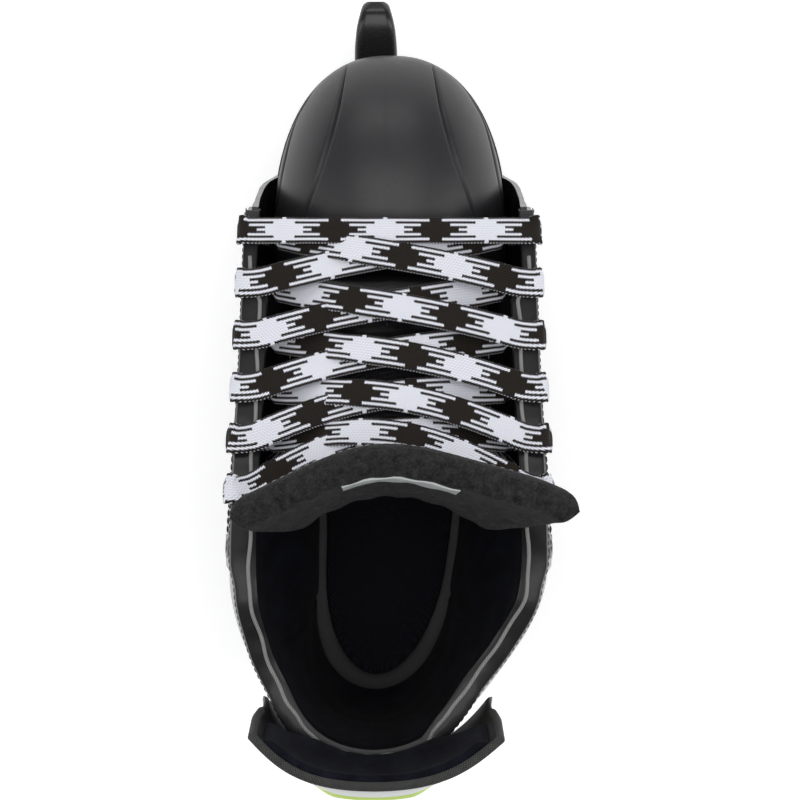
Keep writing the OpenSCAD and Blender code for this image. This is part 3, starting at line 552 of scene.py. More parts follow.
def lace_cloth(name):
    """The lace's braid, from its UVs in mm: u along it and v across. Eleven ribs carry black and white
    stepped diamonds, and between the diamonds every other rib stays white."""
    p = Paint(name, Roughness=0.8, IOR=1.25)
    u, v, _ = p.split(p.uv)
    rib = LACE_WIDTH / 11
    half_period = 1.66 * LACE_WIDTH
    stitch = 1.25
    # Slanted stitches push each rib's edge up and down a little, like the turns of a rope.
    twist = p.math("FRACT", p.math("ADD", p.math("DIVIDE", u, stitch), p.math("MULTIPLY", v, 0.42)))
    saw = p.math("MULTIPLY_ADD", twist, 0.56, -0.28)
    row_place = p.math("ADD", p.math("DIVIDE", v, rib), saw)
    row = p.math("ROUND", row_place)
    away = p.math("ABSOLUTE", row)
    even = p.math("COMPARE", p.math("MODULO", away, 2.0), 0.0, 0.3)
    # 0 at a white diamond's centre and 1 at a black one's
    phase = p.math("PINGPONG", p.math("DIVIDE", u, half_period), 1.0)
    reach = p.math("MULTIPLY_ADD", away, -0.084, 0.46)
    white_core = p.math("LESS_THAN", phase, reach)
    striped = p.math("LESS_THAN", phase, p.math("SUBTRACT", 1.0, reach))
    white = p.math("MAXIMUM", p.math("MULTIPLY", white_core, p.math("LESS_THAN", phase, 0.5)),
                   p.math("MULTIPLY", striped, p.math("MAXIMUM", even, white_core)))
    within = p.math("SUBTRACT", row_place, row)
    groove = p.math("MULTIPLY", within, within)
    slant = p.math("ABSOLUTE", p.math("SUBTRACT", twist, 0.5))
    wear = p.noise(5.0, 4.0, 0.6)
    # Painted shade: the white and the black threads are both painted darker towards each rib's grooved edges
    # and towards the ends of each slanted stitch, where the bump sinks. The white turns a bluish grey there.
    painted_shade = p.band(p.math("MULTIPLY_ADD", slant, 0.6, p.math("MULTIPLY", groove, 2.2)), 0.0, 0.85)
    bright = p.mix(painted_shade, (0.86, 0.87, 0.93), (0.52, 0.53, 0.62))
    inky = p.mix(painted_shade, (0.022, 0.017, 0.013), (0.003, 0.003, 0.003))
    bright = p.mix(p.band(wear, 0.5, 0.8, 0, 0.25), bright, (0.66, 0.65, 0.66))
    p.colour(p.mix(white, inky, bright))
    relief = p.math("SUBTRACT", p.math("MULTIPLY", groove, -3.0), p.math("MULTIPLY", slant, 0.7))
    return p.finish(normal=p.bump(relief, 0.22))


def metal(name, tone, rough, brushed=None, depth=0.01):
    """Metal with a fine directional finish and small scratches."""
    p = Paint(name, Metallic=1.0)
    streak = p.noise(1.2, 4.0, 0.7, stretch=brushed or (1.0, 1.0, 1.0))
    dull = p.noise(14.0, 3.0)
    p.colour(p.mix(dull, [c * 0.85 for c in tone], tone))
    return p.finish(p.band(streak, 0.3, 0.7, rough - 0.07, rough + 0.1), p.bump(streak, depth))


def two_tone(name, low, high, edge):
    """Smooth plastic in two colours that meet at a height, in mm."""
    p = Paint(name, IOR=1.5)
    _, _, z = p.split(p.place)
    fine = p.noise(0.6, 3.0)
    p.colour(p.mix(p.band(z, edge - 0.15, edge + 0.15), low, high))
    return p.finish(p.band(fine, 0.3, 0.7, 0.28, 0.4), p.bump(fine, 0.03))


SHELL = patent_leather("shell_leather", (0.007, 0.007, 0.008))
FACING = patent_leather("facing_leather", (0.008, 0.008, 0.009), 0.2, 0.16)
EDGE = patent_leather("edge_leather", (0.006, 0.006, 0.007), 0.45, 0.16)
COVER = patent_leather("tongue_leather", (0.008, 0.008, 0.009), 0.16, 0.1)
TOE = moulded_plastic("toe_plastic", (0.019, 0.019, 0.021), 0.4)
HOLDER = moulded_plastic("holder_plastic", (0.012, 0.012, 0.013), 0.24, 0.8, 0.03)
SOLE = moulded_plastic("sole_plastic", (0.02, 0.02, 0.021), 0.5)
GUARD = moulded_plastic("guard_plastic", (0.010, 0.010, 0.011), 0.36)
FELT = needled_felt("grey_felt", (0.006, 0.006, 0.006), (0.035, 0.035, 0.036))
# Partly painted shade: the lining is a dark navy fabric, and its colour is set darker still so that the
# inside of the boot reads as shadow. The guard's lining shares it.
LINING = brushed_lining("navy_lining_with_painted_shade", (0.003, 0.003, 0.005), (0.009, 0.010, 0.017))
TAPE = woven("edge_tape", (0.02, 0.02, 0.02), (0.07, 0.07, 0.068), 1.1)
PIPING = woven("edge_piping", (0.16, 0.16, 0.155), (0.34, 0.34, 0.33), 1.1)
LABEL = woven("label_satin", (0.38, 0.40, 0.40), (0.62, 0.65, 0.65), 0.5, 0.4, 0.03)
# Painted shade: the insole board is coloured almost pure black so that it reads as the shadow inside the
# boot.
BOARD = woven("fibre_board", (0.002, 0.002, 0.002), (0.004, 0.004, 0.004), 1.6, 0.9, 0.12, 0.0)
FOAM = needled_felt("foam", (0.3, 0.28, 0.2), (0.5, 0.47, 0.36))
# Partly painted shade: the footbed is a dark knit, set almost black so that the bottom of the boot reads as
# shadow.
BED = woven("footbed_knit", (0.003, 0.003, 0.005), (0.012, 0.012, 0.018), 1.4, 0.85, 0.2)
LACE = lace_cloth("lace_braid")
THREAD = woven("thread", (0.02, 0.02, 0.02), (0.06, 0.06, 0.06), 0.4, 0.5)
PALE_THREAD = woven("pale_thread", (0.25, 0.25, 0.25), (0.45, 0.45, 0.44), 0.4, 0.5)
STEEL = metal("runner_steel", (0.62, 0.63, 0.65), 0.26, (0.06, 1.0, 2.2))
RIVET = metal("rivet_metal", (0.6, 0.61, 0.62), 0.34)
NICKEL = metal("black_nickel", (0.14, 0.14, 0.15), 0.24)
BOLT = metal("zinc", (0.5, 0.5, 0.52), 0.3)
ACCENT = two_tone("accent_plastic", (0.50, 0.72, 0.03), (0.78, 0.80, 0.80), 255.6)


def clear_tip():
    p = Paint("aglet_film", Roughness=0.16, IOR=1.45)
    wrap = p.noise(1.6, 2.0)
    p.colour(p.mix(wrap, (0.30, 0.31, 0.34), (0.50, 0.52, 0.56)))
    return p.finish(normal=p.bump(wrap, 0.08))


AGLET = clear_tip()


def dress(thing, paint, slot, body, *nodes):
    """Gives a piece its material and body, and hides the CAD nodes that it stands for. The slot is not used.
    A body of None is for
    CAD nodes, which have theirs, and for pieces that are blended over a joint."""
    thing.data.materials.clear()
    thing.data.materials.append(paint)
    if nodes:
        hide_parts(*nodes)
    if body:
        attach(thing, body)
    return thing


# ---- Camera, light and floor -------------------------------------------------------------------------------
def place_camera():
    """Looks down on the boot from a little in front of it, with the toe at the top of the picture."""
    tilt = math.radians(8)
    picture_px = 800
    focal_px = 3045
    distance = 1200
    middle = np.array([4.3, -10.2, 150])
    back = np.array([math.sin(tilt), 0, math.cos(tilt)])
    right = np.array([0, -1, 0])
    up = np.array([math.cos(tilt), 0, -math.sin(tilt)])
    data = bpy.data.cameras.new("camera")
    data.sensor_width = 36
    data.lens = focal_px * data.sensor_width / picture_px
    data.clip_end = 20
    camera = bpy.data.objects.new("camera", data)
    spot = (middle + distance * back) * MM
    turn = np.stack([right, up, back], axis=1).tolist()
    camera.matrix_world = Matrix([[*row, s] for row, s in zip(turn, spot)] + [[0, 0, 0, 1]])
    bpy.context.collection.objects.link(camera)
    bpy.context.scene.camera = camera


def add_light(name, spot, target, size, power, tint=(1, 1, 1)):
    data = bpy.data.lights.new(name, "AREA")
    data.shape = "RECTANGLE"
    data.size, data.size_y = size
    data.energy = power
    data.color = tint
    lamp = bpy.data.objects.new(name, data)
    lamp.location = spot
    lamp.rotation_euler = (Vector(target) - Vector(spot)).to_track_quat("-Z", "Y").to_euler()
    bpy.context.collection.objects.link(lamp)


def light_and_floor():
    world = bpy.data.worlds.new("studio")
    world.use_nodes = True
    sky = world.node_tree.nodes["Background"]
    sky.inputs["Color"].default_value = (1, 1, 1, 1)
    sky.inputs["Strength"].default_value = 0.32
    bpy.context.scene.world = world
    bpy.context.scene.view_settings.view_transform = "Standard"
    target = (0, 0, 0.12)
    add_light("soft_above", (0.25, 0.0, 1.7), target, (1.2, 1.2), 12)
    add_light("strip_outer", (0.1, -1.3, 0.9), target, (0.5, 1.6), 8)
    add_light("strip_inner", (0.0, 1.3, 0.8), target, (0.5, 1.6), 6)
    add_light("front_fill", (1.5, 0.1, 0.7), target, (1.0, 0.6), 5)
    floor = Paint("pale_floor", Roughness=0.8)
    floor.surface.inputs["Emission Color"].default_value = (1, 1, 1, 1)
    floor.surface.inputs["Emission Strength"].default_value = 0.42
    floor.colour(floor.mix(floor.noise(60.0, 2.0), (0.86, 0.86, 0.87), (0.90, 0.90, 0.90)))
    side = 4000
    corners = [(x * side, y * side, 0) for x, y in ((-1, -1), (1, -1), (1, 1), (-1, 1))]
    ground = add_mesh("floor", corners, [(0, 1, 2, 3)])
    ground.data.materials.append(floor.finish())


place_camera()
light_and_floor()


# ---- Lace --------------------------------------------------------------------------------------------------
BINDING_THICK = 1.2
RIM_CLEAR = BINDING_THICK + GAP + LACE_THICK / 2 + 0.85
RIM_AHEAD = 3.5
MOUTH_OUT = FACING_GAP + FACING_WALL + GAP + FLANGE_T + 0.1
MOUTH_IN = INNER_WALL + 2 * GAP + FLANGE_T + 0.1
TURN_ROOM = 1.3
SOLE_INSET = INNER_WALL + 2.2
FOOTBED_TOP = 7.05
NECK_W = 1.6 * EYELET_BORE_R
NECK_T = 0.8 * EYELET_BORE_R
END_R = 1.6
# Stops of the hanging ends: distance in front of the last laced eyelet, level of the wall, distance from the
# lining. LYING holds the distances of the stops on the footbed.
HANGING = [(1, 0.78, 2.6), (1, 0.72, 2.6), (1.5, 0.65, 2.8), (2.5, 0.57, 3), (5, 0.49, 3), (8, 0.41, 3.2),
           (13, 0.33, 3.4), (19, 0.25, 4), (27, 0.19, 5.4)]
LYING = (38, 49, 61, 73)


def across_rim(x):
    return unit([1, 0, -float(rim_slope(x))])


def on_axis(i, side, depth):
    u, v = eyelet_uv(i)
    return (wall(side * u, v, depth), across_rim(EYELET_XS[i]), NECK_W, NECK_T)


def climb(i, side):
    """From an eyelet's outer mouth up over the rim: stops of (place, direction across, width, thickness)."""
    x = EYELET_XS[i]
    over = x + RIM_AHEAD
    out = MOUTH_OUT + TURN_ROOM
    across = across_rim(over)
    low, high = side * float(wall_u(x + 0.3 * RIM_AHEAD)), side * float(wall_u(x + 0.7 * RIM_AHEAD))
    rim_u = side * float(wall_u(over))
    return [on_axis(i, side, -MOUTH_OUT), on_axis(i, side, -out),
            (wall(low, level(x, EYELET_DROP - 3), -out - 0.4), across, LACE_WIDTH * 0.68, LACE_THICK * 1.2),
            (wall(high, level(x, EYELET_DROP - 7), -out + 0.1), across, LACE_WIDTH * 0.93, LACE_THICK),
            (wall(rim_u, 1, -out + 0.5, 1.2), across, LACE_WIDTH, LACE_THICK),
            (wall(rim_u, 1, -1.4, RIM_CLEAR + 0.5), across, LACE_WIDTH, LACE_THICK)]


def edge_half(x, depth):
    return float(wall(wall_u(x), 1, depth)[1] - swing(x))


UPPER_IN = [(0, 5.9), (6, 5.7), (14, 5.0), (20, 4.0), (25, 2.2), (29, 0), (36, -4), (48, -10.4)]
UPPER_OUT = [(0, 5.9), (12, 5.4), (30, 4.2), (48, RIM_CLEAR + 0.2), (60, RIM_CLEAR)]
LOWER_IN = [(0, 3.5), (8, 2.9), (18, 0.7), (30, -3.9), (40, -7.6), (48, -10.4)]
LOWER_OUT = [(0, 3.5), (12, 3.1), (30, 2.7), (48, RIM_CLEAR), (60, RIM_CLEAR)]


def arch(t):
    """Share of the way back that a band has gone when it is t of the way across: it bows towards the toe."""
    return t * (0.4 + 0.6 * t)


def crossing(i, side):
    """The band from eyelet i's inner mouth on one side to the next one's outer mouth on the other."""
    start, end = EYELET_XS[i], EYELET_XS[i + 1] + RIM_AHEAD
    near, far = edge_half(start, INNER_WALL + 4), edge_half(end, INNER_WALL - 2)
    upper = side > 0
    bow = 0.65 * i * i
    stops = [on_axis(i, side, MOUTH_IN), on_axis(i, side, MOUTH_IN + TURN_ROOM)]
    for y in np.concatenate([np.linspace(near, 8, 8), np.linspace(3, -3, 3), np.linspace(-8, -far, 7)]):
        t = (near + 3 - y) / (near + far + 5)
        x = mix(start, end, arch(t)) + bow * math.sin(math.pi * t)
        reach = abs(y) * 48 / near
        if y > 0:
            height = curve(UPPER_IN if upper else LOWER_IN, reach)
        else:
            height = curve(UPPER_OUT if upper else LOWER_OUT, reach)
        twist = 0.0
        if y > 0 and upper:
            twist = math.radians(14) * float(ease((reach - 10) / 10) * (1 - ease((reach - 32) / 10)))
        width = LACE_WIDTH * mix(1, 0.76, float(ease((y - near + 9) / 9)))
        place = [x, side * y + swing(x), rim_z(x) + height]
        stops.append((place, across_rim(x) + np.array([0, 0, -math.tan(twist)]), width, LACE_THICK))
    return stops + climb(i + 1, -side)[::-1]


def first_bar():
    x = EYELET_XS[0] + RIM_AHEAD
    half = edge_half(x, 4)
    bar = [([x, y + swing(x), rim_z(x) + RIM_CLEAR + 0.4 * math.cos(math.pi * y / half / 2)], across_rim(x),
            LACE_WIDTH, LACE_THICK) for y in np.linspace(half - 6, 6 - half, 9)]
    return climb(0, 1) + bar + climb(0, -1)[::-1]


def side_point(p, side):
    return np.array([p[0], side * p[1] + float(swing(p[0])), p[2]], float)


def end_route():
    """A free end's way as if the boot stood straight: down the lining and forward along the footbed."""
    start = EYELET_XS[LACED_COUNT - 1]
    stops = []
    for ahead, v, inset in HANGING:
        p = wall(wall_u(start + ahead, v), v, INNER_WALL + inset)
        stops.append((p[0], p[1] - float(swing(p[0])), p[2]))
    for ahead in LYING:
        x = start + ahead
        stops.append((x, float(curve(SOLE_LINE, x)) - SOLE_INSET - 8, sole_at(x) + FOOTBED_TOP + END_R + 0.3))
    return stops


def lace_half(side):
    """From the first row's bar down to where the free end hangs on."""
    stops = []
    for i in range(LACED_COUNT - 1):
        stops += crossing(i, side if i % 2 == 0 else -side)
    last = LACED_COUNT - 1
    final = side if last % 2 == 0 else -side
    route = [side_point(p, final) for p in end_route()]
    back = unit(route[0] - route[1])
    x = EYELET_XS[last] + 0.5
    across = [1, 0, 0]
    stops += [on_axis(last, final, MOUTH_IN), on_axis(last, final, MOUTH_IN + TURN_ROOM)]
    for drop in (5, 10):
        place = wall(final * wall_u(x), level(x, EYELET_DROP + drop), MOUTH_IN + 1.6 + drop / 10)
        stops.append((place, across, LACE_WIDTH * (0.5 + drop / 20), LACE_THICK))
    return stops + [(place, across, LACE_WIDTH, LACE_THICK) for place in (route[0] + 3 * back, route[0])]


def spline(values, fine):
    """Points along a smooth curve through the values, fine steps to each span."""
    values = np.asarray(values, float)
    padded = np.concatenate([[2 * values[0] - values[1]], values, [2 * values[-1] - values[-2]]])
    chord = np.maximum(np.linalg.norm(np.diff(padded[:, :3], axis=0), axis=1), 0.3) ** 0.5
    knots = np.concatenate([[0], np.cumsum(chord)])
    result = []
    for i in range(1, len(padded) - 2):
        k0, k1, k2, k3 = knots[i - 1:i + 3]
        p0, p1, p2, p3 = padded[i - 1:i + 3]
        for t in np.linspace(k1, k2, fine, endpoint=False):
            a1 = mix(p0, p1, (t - k0) / (k1 - k0))
            a2 = mix(p1, p2, (t - k1) / (k2 - k1))
            a3 = mix(p2, p3, (t - k2) / (k3 - k2))
            b1 = mix(a1, a2, (t - k0) / (k2 - k0))
            b2 = mix(a2, a3, (t - k1) / (k3 - k1))
            result.append(mix(b1, b2, (t - k1) / (k2 - k1)))
    result.append(padded[-2])
    return np.array(result)


# Half of the lace's cross-section: flat faces with soft edges, as shares of width and thickness.
LACE_SECTION = [(-0.5, 0.0), (-0.485, 0.3), (-0.44, 0.46), (-0.3, 0.5), (-0.1, 0.49), (0.1, 0.49), (0.3, 0.5),
                (0.44, 0.46), (0.485, 0.3), (0.5, 0.0)]


def ribbon(name, stops, offset=0.0, fine=5):
    """A flat braided band through the stops. Its UVs are mm along it and mm across the full width."""
    rows = np.array([[*p, *unit(a), w, t] for p, a, w, t in stops], float)
    rows = spline(rows, fine)
    centre = rows[:, :3]
    ahead = unit(np.gradient(centre, axis=0))
    across = unit(rows[:, 3:6] - np.sum(rows[:, 3:6] * ahead, axis=1)[:, None] * ahead)
    up = np.cross(across, ahead)
    section = np.array(LACE_SECTION + [(-a, -b) for a, b in LACE_SECTION[1:-1]])
    run = offset + run_length(centre)
    # The braid's edges wave very slightly with its stitches.
    wave = 1 + 0.012 * np.sin(run * 2 * math.pi / 2.5)
    rings = (centre[:, None] + across[:, None] * (section[None, :, :1] * (rows[:, 6] * wave)[:, None, None])
             + up[:, None] * (section[None, :, 1:] * rows[:, 7][:, None, None]))
    uvs = stack(np.broadcast_to(run[:, None], rings.shape[:2]), section[None, :, 0] * LACE_WIDTH, 0)[..., :2]
    n, m = rings.shape[:2]
    band = add_mesh(name, rings.reshape(-1, 3), ring_faces(n, m), uvs.reshape(-1, 2), sharp=60)
    return face_outwards(band), run[-1]


def build_lace():
    """The laced part in one band, and a free end on each side with its aglet."""
    stops = lace_half(1)[::-1] + first_bar() + lace_half(-1)
    band, length = ribbon("lace_band", stops)
    dress(band, LACE, "lace", "boot", "lace")
    for side, name in ((1, "medial"), (-1, "lateral")):
        route = [side_point(p, side) for p in end_route()]
        hanging_across, lying_across = np.array([1.0, 0, 0]), np.array([0.35, -1.0 * side, 0.0])
        flat_stops = []
        for k, point in enumerate(route):
            across = unit(mix(hanging_across, lying_across, float(ease((k - 4) / 7))))
            flat_stops.append((point, across, LACE_WIDTH, LACE_THICK))
        end, _ = ribbon(f"lace_tail_{name}", flat_stops, length)
        dress(end, LACE, "lace", "boot", f"lace_end_{name}")
        ahead = unit(route[-1] - route[-2])
        side_way = unit(np.cross(ahead, [0, 0, 1]))
        wide, high = 1.9 * side_way, 1.25 * np.cross(side_way, ahead)
        rings = []
        for share, size in ((0.0, 0.94), (0.03, 1.0), (0.95, 1.0), (1.0, 0.85)):
            middle = route[-1] + ahead * (0.06 + 21 * share)
            rings.append([middle + size * (math.cos(a) * wide + math.sin(a) * high)
                          for a in np.linspace(0, 2 * math.pi, 16, endpoint=False)])
        tip = dress(loft(f"aglet_tip_{name}", rings), AGLET, "aglet", "boot", f"aglet_{name}")


build_lace()


# ---- Boot walls --------------------------------------------------------------------------------------------
def wall_stations(last, heel_steps=40, side_steps=150):
    heel = np.linspace(0.0002, HEEL_SHARE, heel_steps, endpoint=False)
    return np.concatenate([heel, np.linspace(HEEL_SHARE, last, side_steps)])


# Each seam's x at the sole, and how far it moves forward with each mm of height.
SEAMS = [(52, -0.28), (-34, 0.42)]
COUNTER_HEIGHT = 40


def seam_x(seam, h):
    return seam[0] + seam[1] * h


def panel_relief(x, h):
    """How far the overlaid panels of the quarter stand proud."""
    raised = np.zeros_like(x)
    for seam in SEAMS:
        raised += 0.55 * ease((seam_x(seam, h) - x) / 1.2 + 0.5)
    counter = COUNTER_HEIGHT + 24 * ease((-x - 20) / 90) - 10 * ease((x - 10) / 60)
    return raised + 0.5 * ease((counter - h) / 1.2 + 0.5) - 0.9


def quarter(side, name):
    us = side * wall_stations(1.0)
    vs = np.concatenate([np.linspace(0, 0.96, 86), np.linspace(0.965, 1, 6)])
    u, v = grid(us, vs)
    flat = wall_point(u, v)
    x, h = flat[..., 0], v * rim_at(wall_x(np.abs(u), v))
    # Panels lie flush again under the facing and at the edges.
    below = (1 - v) * rim_at(wall_x(np.abs(u), v))
    fade = ease((below - 4) / 10) * ease(v / 0.03)
    ripple = 0.10 * np.sin(x * 0.21 + h * 0.13) * np.sin(h * 0.31 - x * 0.09) * ease((-x + 10) / 60)
    outer = wall(u, v, np.clip(-(panel_relief(x, h) + ripple) * fade, -0.6, 0.6))
    inner = wall(u, v, np.full(u.shape, SHELL_WALL - 0.05))
    shell = slab(f"quarter_shell_{name}", outer, inner)
    rows = []
    for k, seam in enumerate(SEAMS):
        for gap in (2.4, 4.6):
            heights = np.linspace(8, float(rim_at(seam_x(seam, 60))) - FACING_DEPTH - 4, 90)
            xs = seam_x(seam, heights) - gap
            levels = heights / rim_at(xs)
            at = side * wall_u(xs, levels)
            points = wall(at, levels, np.full(levels.shape, -0.28))
            rows.append(stitches(f"seam_{k}_{gap}", points, wall_normal(at, levels)))
    dress(shell, SHELL, "shell_plastic", "boot", f"quarter_{name}")
    dress(join(f"quarter_stitching_{name}", rows), THREAD, "shell_plastic", "boot")


def facing(side, name):
    us = side * np.linspace(FACING_REAR, 0.985, 120)
    xs = wall_x(np.abs(us), 1.0)
    drops = np.array([FACING_DEPTH, FACING_DEPTH - 0.25, FACING_DEPTH - 0.8,
                      *np.linspace(FACING_DEPTH - 2, 2, 16), 0.4])
    lift = np.array([0.15, 0.75, 1.0, *np.ones(16), 0.9])
    u = np.repeat(us[:, None], len(drops), axis=1)
    v = level(xs[:, None], drops[None, :])
    outer = wall(u, v, -FACING_GAP - FACING_WALL * np.broadcast_to(lift, u.shape))
    inner = wall(u, v, np.full(u.shape, -FACING_GAP + 0.1))
    dress(slab(f"facing_strip_{name}", outer, inner), FACING, "facing_leather", "boot", f"facing_{name}")
    rows = []
    for k, drop in enumerate((4.2, 17.6, 19.8)):
        inset = slice(2, -2)
        at = us[inset]
        levels = level(xs[inset], drop)
        points = wall(at, levels, np.full(at.shape, -FACING_GAP - FACING_WALL))
        rows.append(stitches(f"facing_row_{k}", points, wall_normal(at, levels)))
    dress(join(f"facing_stitching_{name}", rows), THREAD, "facing_leather", "boot")


def binding_out(u):
    return mix(0.5, FACING_GAP + FACING_WALL + 0.1, ease((np.abs(u) - FACING_REAR + 0.02) / 0.04))


def binding(side, name):
    """Folded tape over the rim: it runs down a little on both faces of the wall."""
    front = 0.995
    us = side * wall_stations(front, 40, 170)
    inner_front = float(wall_u(TOE_X - 90, 0.0))
    depth_in = INNER_WALL + 0.2 + (SHELL_WALL - INNER_WALL) * ease((np.abs(us) - inner_front) / 0.03)
    out = binding_out(us)
    leg = 3.6
    thick = 0.55
    crown = 0.25 * np.sin(np.abs(us) * 160)
    profile = []
    for share, lift in ((0.0, -leg), (0.0, -leg * 0.5), (0.02, -0.4), (0.06, 0.7), (0.2, 1.15), (0.5, 1.3),
                        (0.8, 1.15), (0.94, 0.7), (0.98, -0.4), (1.0, -leg * 0.5), (1.0, -leg)):
        depth = mix(-out - thick, depth_in + thick, share)
        profile.append((depth, lift + crown * 0.3 * (lift > 0) + GAP * (lift > 0)))
    for share, lift in ((1.0, -leg), (1.0, -0.6), (0.5, 0.0), (0.0, -0.6), (0.0, -leg)):
        profile.append((mix(-out, depth_in, share), np.full(us.shape, float(lift)) + GAP * (lift >= 0)))
    xs = wall_x(np.abs(us), 1.0)
    rings = [wall(us, level(xs, np.maximum(-lift, 0)), depth, np.maximum(lift, 0)) for depth, lift in profile]
    tape = loft(f"edge_tape_{name}", np.stack(rings, axis=1), sharp=50)
    dress(tape, EDGE, "binding_tape", "boot", f"binding_{name}")
    levels = level(xs, 2.4)
    points = wall(us, levels, -out - thick)
    row = stitches(f"edge_stitching_{name}", points, wall_normal(us, levels), 1.9, 0.9, 0.26)
    dress(row, THREAD, "binding_tape", "boot")
    # A thin piping wanders along the inner edge of the collar and of the facing.
    edge = us[np.abs(us) < 0.93]
    wander = 0.7 * np.sin(np.abs(edge) * 37) + 0.5 * np.sin(np.abs(edge) * 83 + side)
    depth = np.interp(edge, *((us, depth_in) if side > 0 else (us[::-1], depth_in[::-1])))
    centre = wall(edge, np.ones(edge.shape), depth - 2.6 + wander * 0.5, np.full(edge.shape, 1.5))
    ahead = unit(np.gradient(centre, axis=0))
    across = unit(np.cross(ahead, [0, 0, 1]))
    piping = tube(f"edge_piping_{name}", centre, 0.75 * across, 0.6 * np.cross(across, ahead), 10)
    dress(piping, PIPING, "binding_tape", "boot")


def ankle_pad(x, v):
    """Inward swell of the padding over the ankle, in mm."""
    return 3.2 * np.exp(-((x + 72) / 34) ** 2 - ((v - 0.72) / 0.2) ** 2)


def lining(side, name):
    inner_front = float(wall_u(TOE_X - 88, 0.0))
    us = side * wall_stations(inner_front, 40, 120)
    vs = np.linspace(0.075, 0.985, 70)
    u, v = grid(us, vs)
    x = wall_x(np.abs(u), v)
    swell = ankle_pad(x, v)
    channels = sum(0.7 * np.exp(-((x - c + 14 * (v - 0.6)) / 1.3) ** 2) for c in (-96, -40, 6))
    soft = 0.25 * np.sin(x * 0.17 + v * 9) * np.sin(v * 21 - x * 0.05)
    inner = wall(u, v, INNER_WALL + swell - channels + soft)
    outer = wall(u, v, np.full(u.shape, INNER_WALL - LINING_WALL))
    pad = slab(f"boot_lining_{name}", outer, inner, sharp=60)
    dress(pad, LINING, "lining_fabric", "boot", f"lining_{name}")


def back_stay():
    """The strip over the heel seam, with two ribs and a row of stitches along each side."""
    reach, foot, top = 0.19, 0.07, 0.74
    u, v = grid(np.linspace(-reach, reach, 61), np.linspace(foot, top, 80))
    edge = np.minimum(1 - np.abs(u) / reach, np.minimum(v - foot, top - v) * 6)
    round_off = ease(edge / 0.06)
    rib = 0.35 * ease(1 - np.abs(np.abs(u) - 0.06) / 0.012)
    outer = wall(u, v, -GAP - 0.5 - (1.3 + rib) * round_off)
    inner = wall(u, v, np.full(u.shape, -GAP))
    dress(slab("heel_stay", outer, inner), FACING, "shell_plastic", "boot", "back_stay")
    rows = []
    for side in (-1, 1):
        path_v = np.linspace(0.1, 0.71, 60)
        at = np.full(path_v.shape, side * 0.165)
        points = wall(at, path_v, np.full(at.shape, -GAP - 1.75))
        rows.append(stitches(f"stay_row_{side}", points, wall_normal(at, path_v)))
    dress(join("heel_stay_stitching", rows), THREAD, "shell_plastic", "boot")


def eyelets(side, name):
    """Turned eyelets with rolled flanges on both faces."""
    out = FACING_GAP + FACING_WALL
    bore, barrel, rim = EYELET_BORE_R, EYELET_BORE_R + 0.7, EYELET_BORE_R + 2.3
    inside = INNER_WALL + 2 * GAP
    profile = [(bore, -inside - 0.4), (bore, out + 0.5), (bore + 0.5, out + 0.95), (bore + 1.2, out + 1.05),
               (rim - 0.4, out + 0.75), (rim, out + 0.3), (rim - 0.1, out + 0.05), (barrel, out + 0.05),
               (barrel, -inside), (rim - 0.1, -inside - 0.1), (rim, -inside - 0.35),
               (rim - 0.5, -inside - 0.7), (bore + 0.6, -inside - 0.8)]
    rings = []
    for i in range(EYELET_COUNT):
        u, v = eyelet_uv(i)
        place = wall(side * u, v, 0)
        rings.append(lathe(profile, place, wall_normal(side * u, v), f"eyelet_{name}_{i}"))
    dress(join(f"eyelet_row_{name}", rings), NICKEL, "eyelet_metal", "boot", f"eyelets_{name}")


for side, name in ((1, "medial"), (-1, "lateral")):
    quarter(side, name)
    facing(side, name)
    binding(side, name)
    lining(side, name)
    eyelets(side, name)
back_stay()


# ---- Toe cap -----------------------------------------------------------------------------------------------
TOE_CENTRE = TOE_X - 80
TOE_REACH = 80
CAP_REACH = 65
CAP_HEIGHT = 63
CAP_REAR = TOE_X - 86
CAP_OVERHANG = 4
CAP_FOOT = 26         # the cap draws in below this height
TOE_POWER = 2.3       # how square the toe is from above, and from the side
NOSE_POWER = 2.2
ARCH_POWER = 0.8      # how square its arch is from the front
CENTRE_GROOVE = [(70, 35.5), (77, 33.5), (97, 26.5), (114, 21.5), (130, 18.5), (138, 16.5)]
SIDE_GROOVE = [(70, 48.5), (77, 46.5), (97, 42.5), (111, 38.5), (121, 33), (131, 27)]


def taper(s, n):
    return np.maximum(1 - np.abs(s) ** n, 0) ** (1 / n)


def cap_point(x, a, inset):
    s = np.maximum(x - TOE_CENTRE, 0) / (TOE_REACH - inset)
    q = np.maximum(x - (TOE_X - CAP_REACH), 0) / (CAP_REACH - inset)
    b = (TOE_HALF - inset) * taper(s, TOE_POWER)
    c = (CAP_HEIGHT - inset) * taper(q, NOSE_POWER)
    h = c * np.abs(np.sin(a)) ** ARCH_POWER
    y = b * np.sign(np.cos(a)) * np.abs(np.cos(a)) ** ARCH_POWER
    above = ease(h / CAP_FOOT)
    drawn = x - CAP_OVERHANG * np.maximum(x - TOE_CENTRE, 0) / TOE_REACH * (1 - above)
    return stack(drawn, y * (0.9 + 0.1 * above) + swing(x), sole_at(drawn) + h)


def groove_angle(x, half_line):
    """The angle at which the cap's outer face is half_line mm from its middle."""
    b = TOE_HALF * float(taper(max(x - TOE_CENTRE, 0) / TOE_REACH, TOE_POWER))
    return math.acos(min(curve(half_line, x) / b, 0.985) ** (1 / ARCH_POWER))


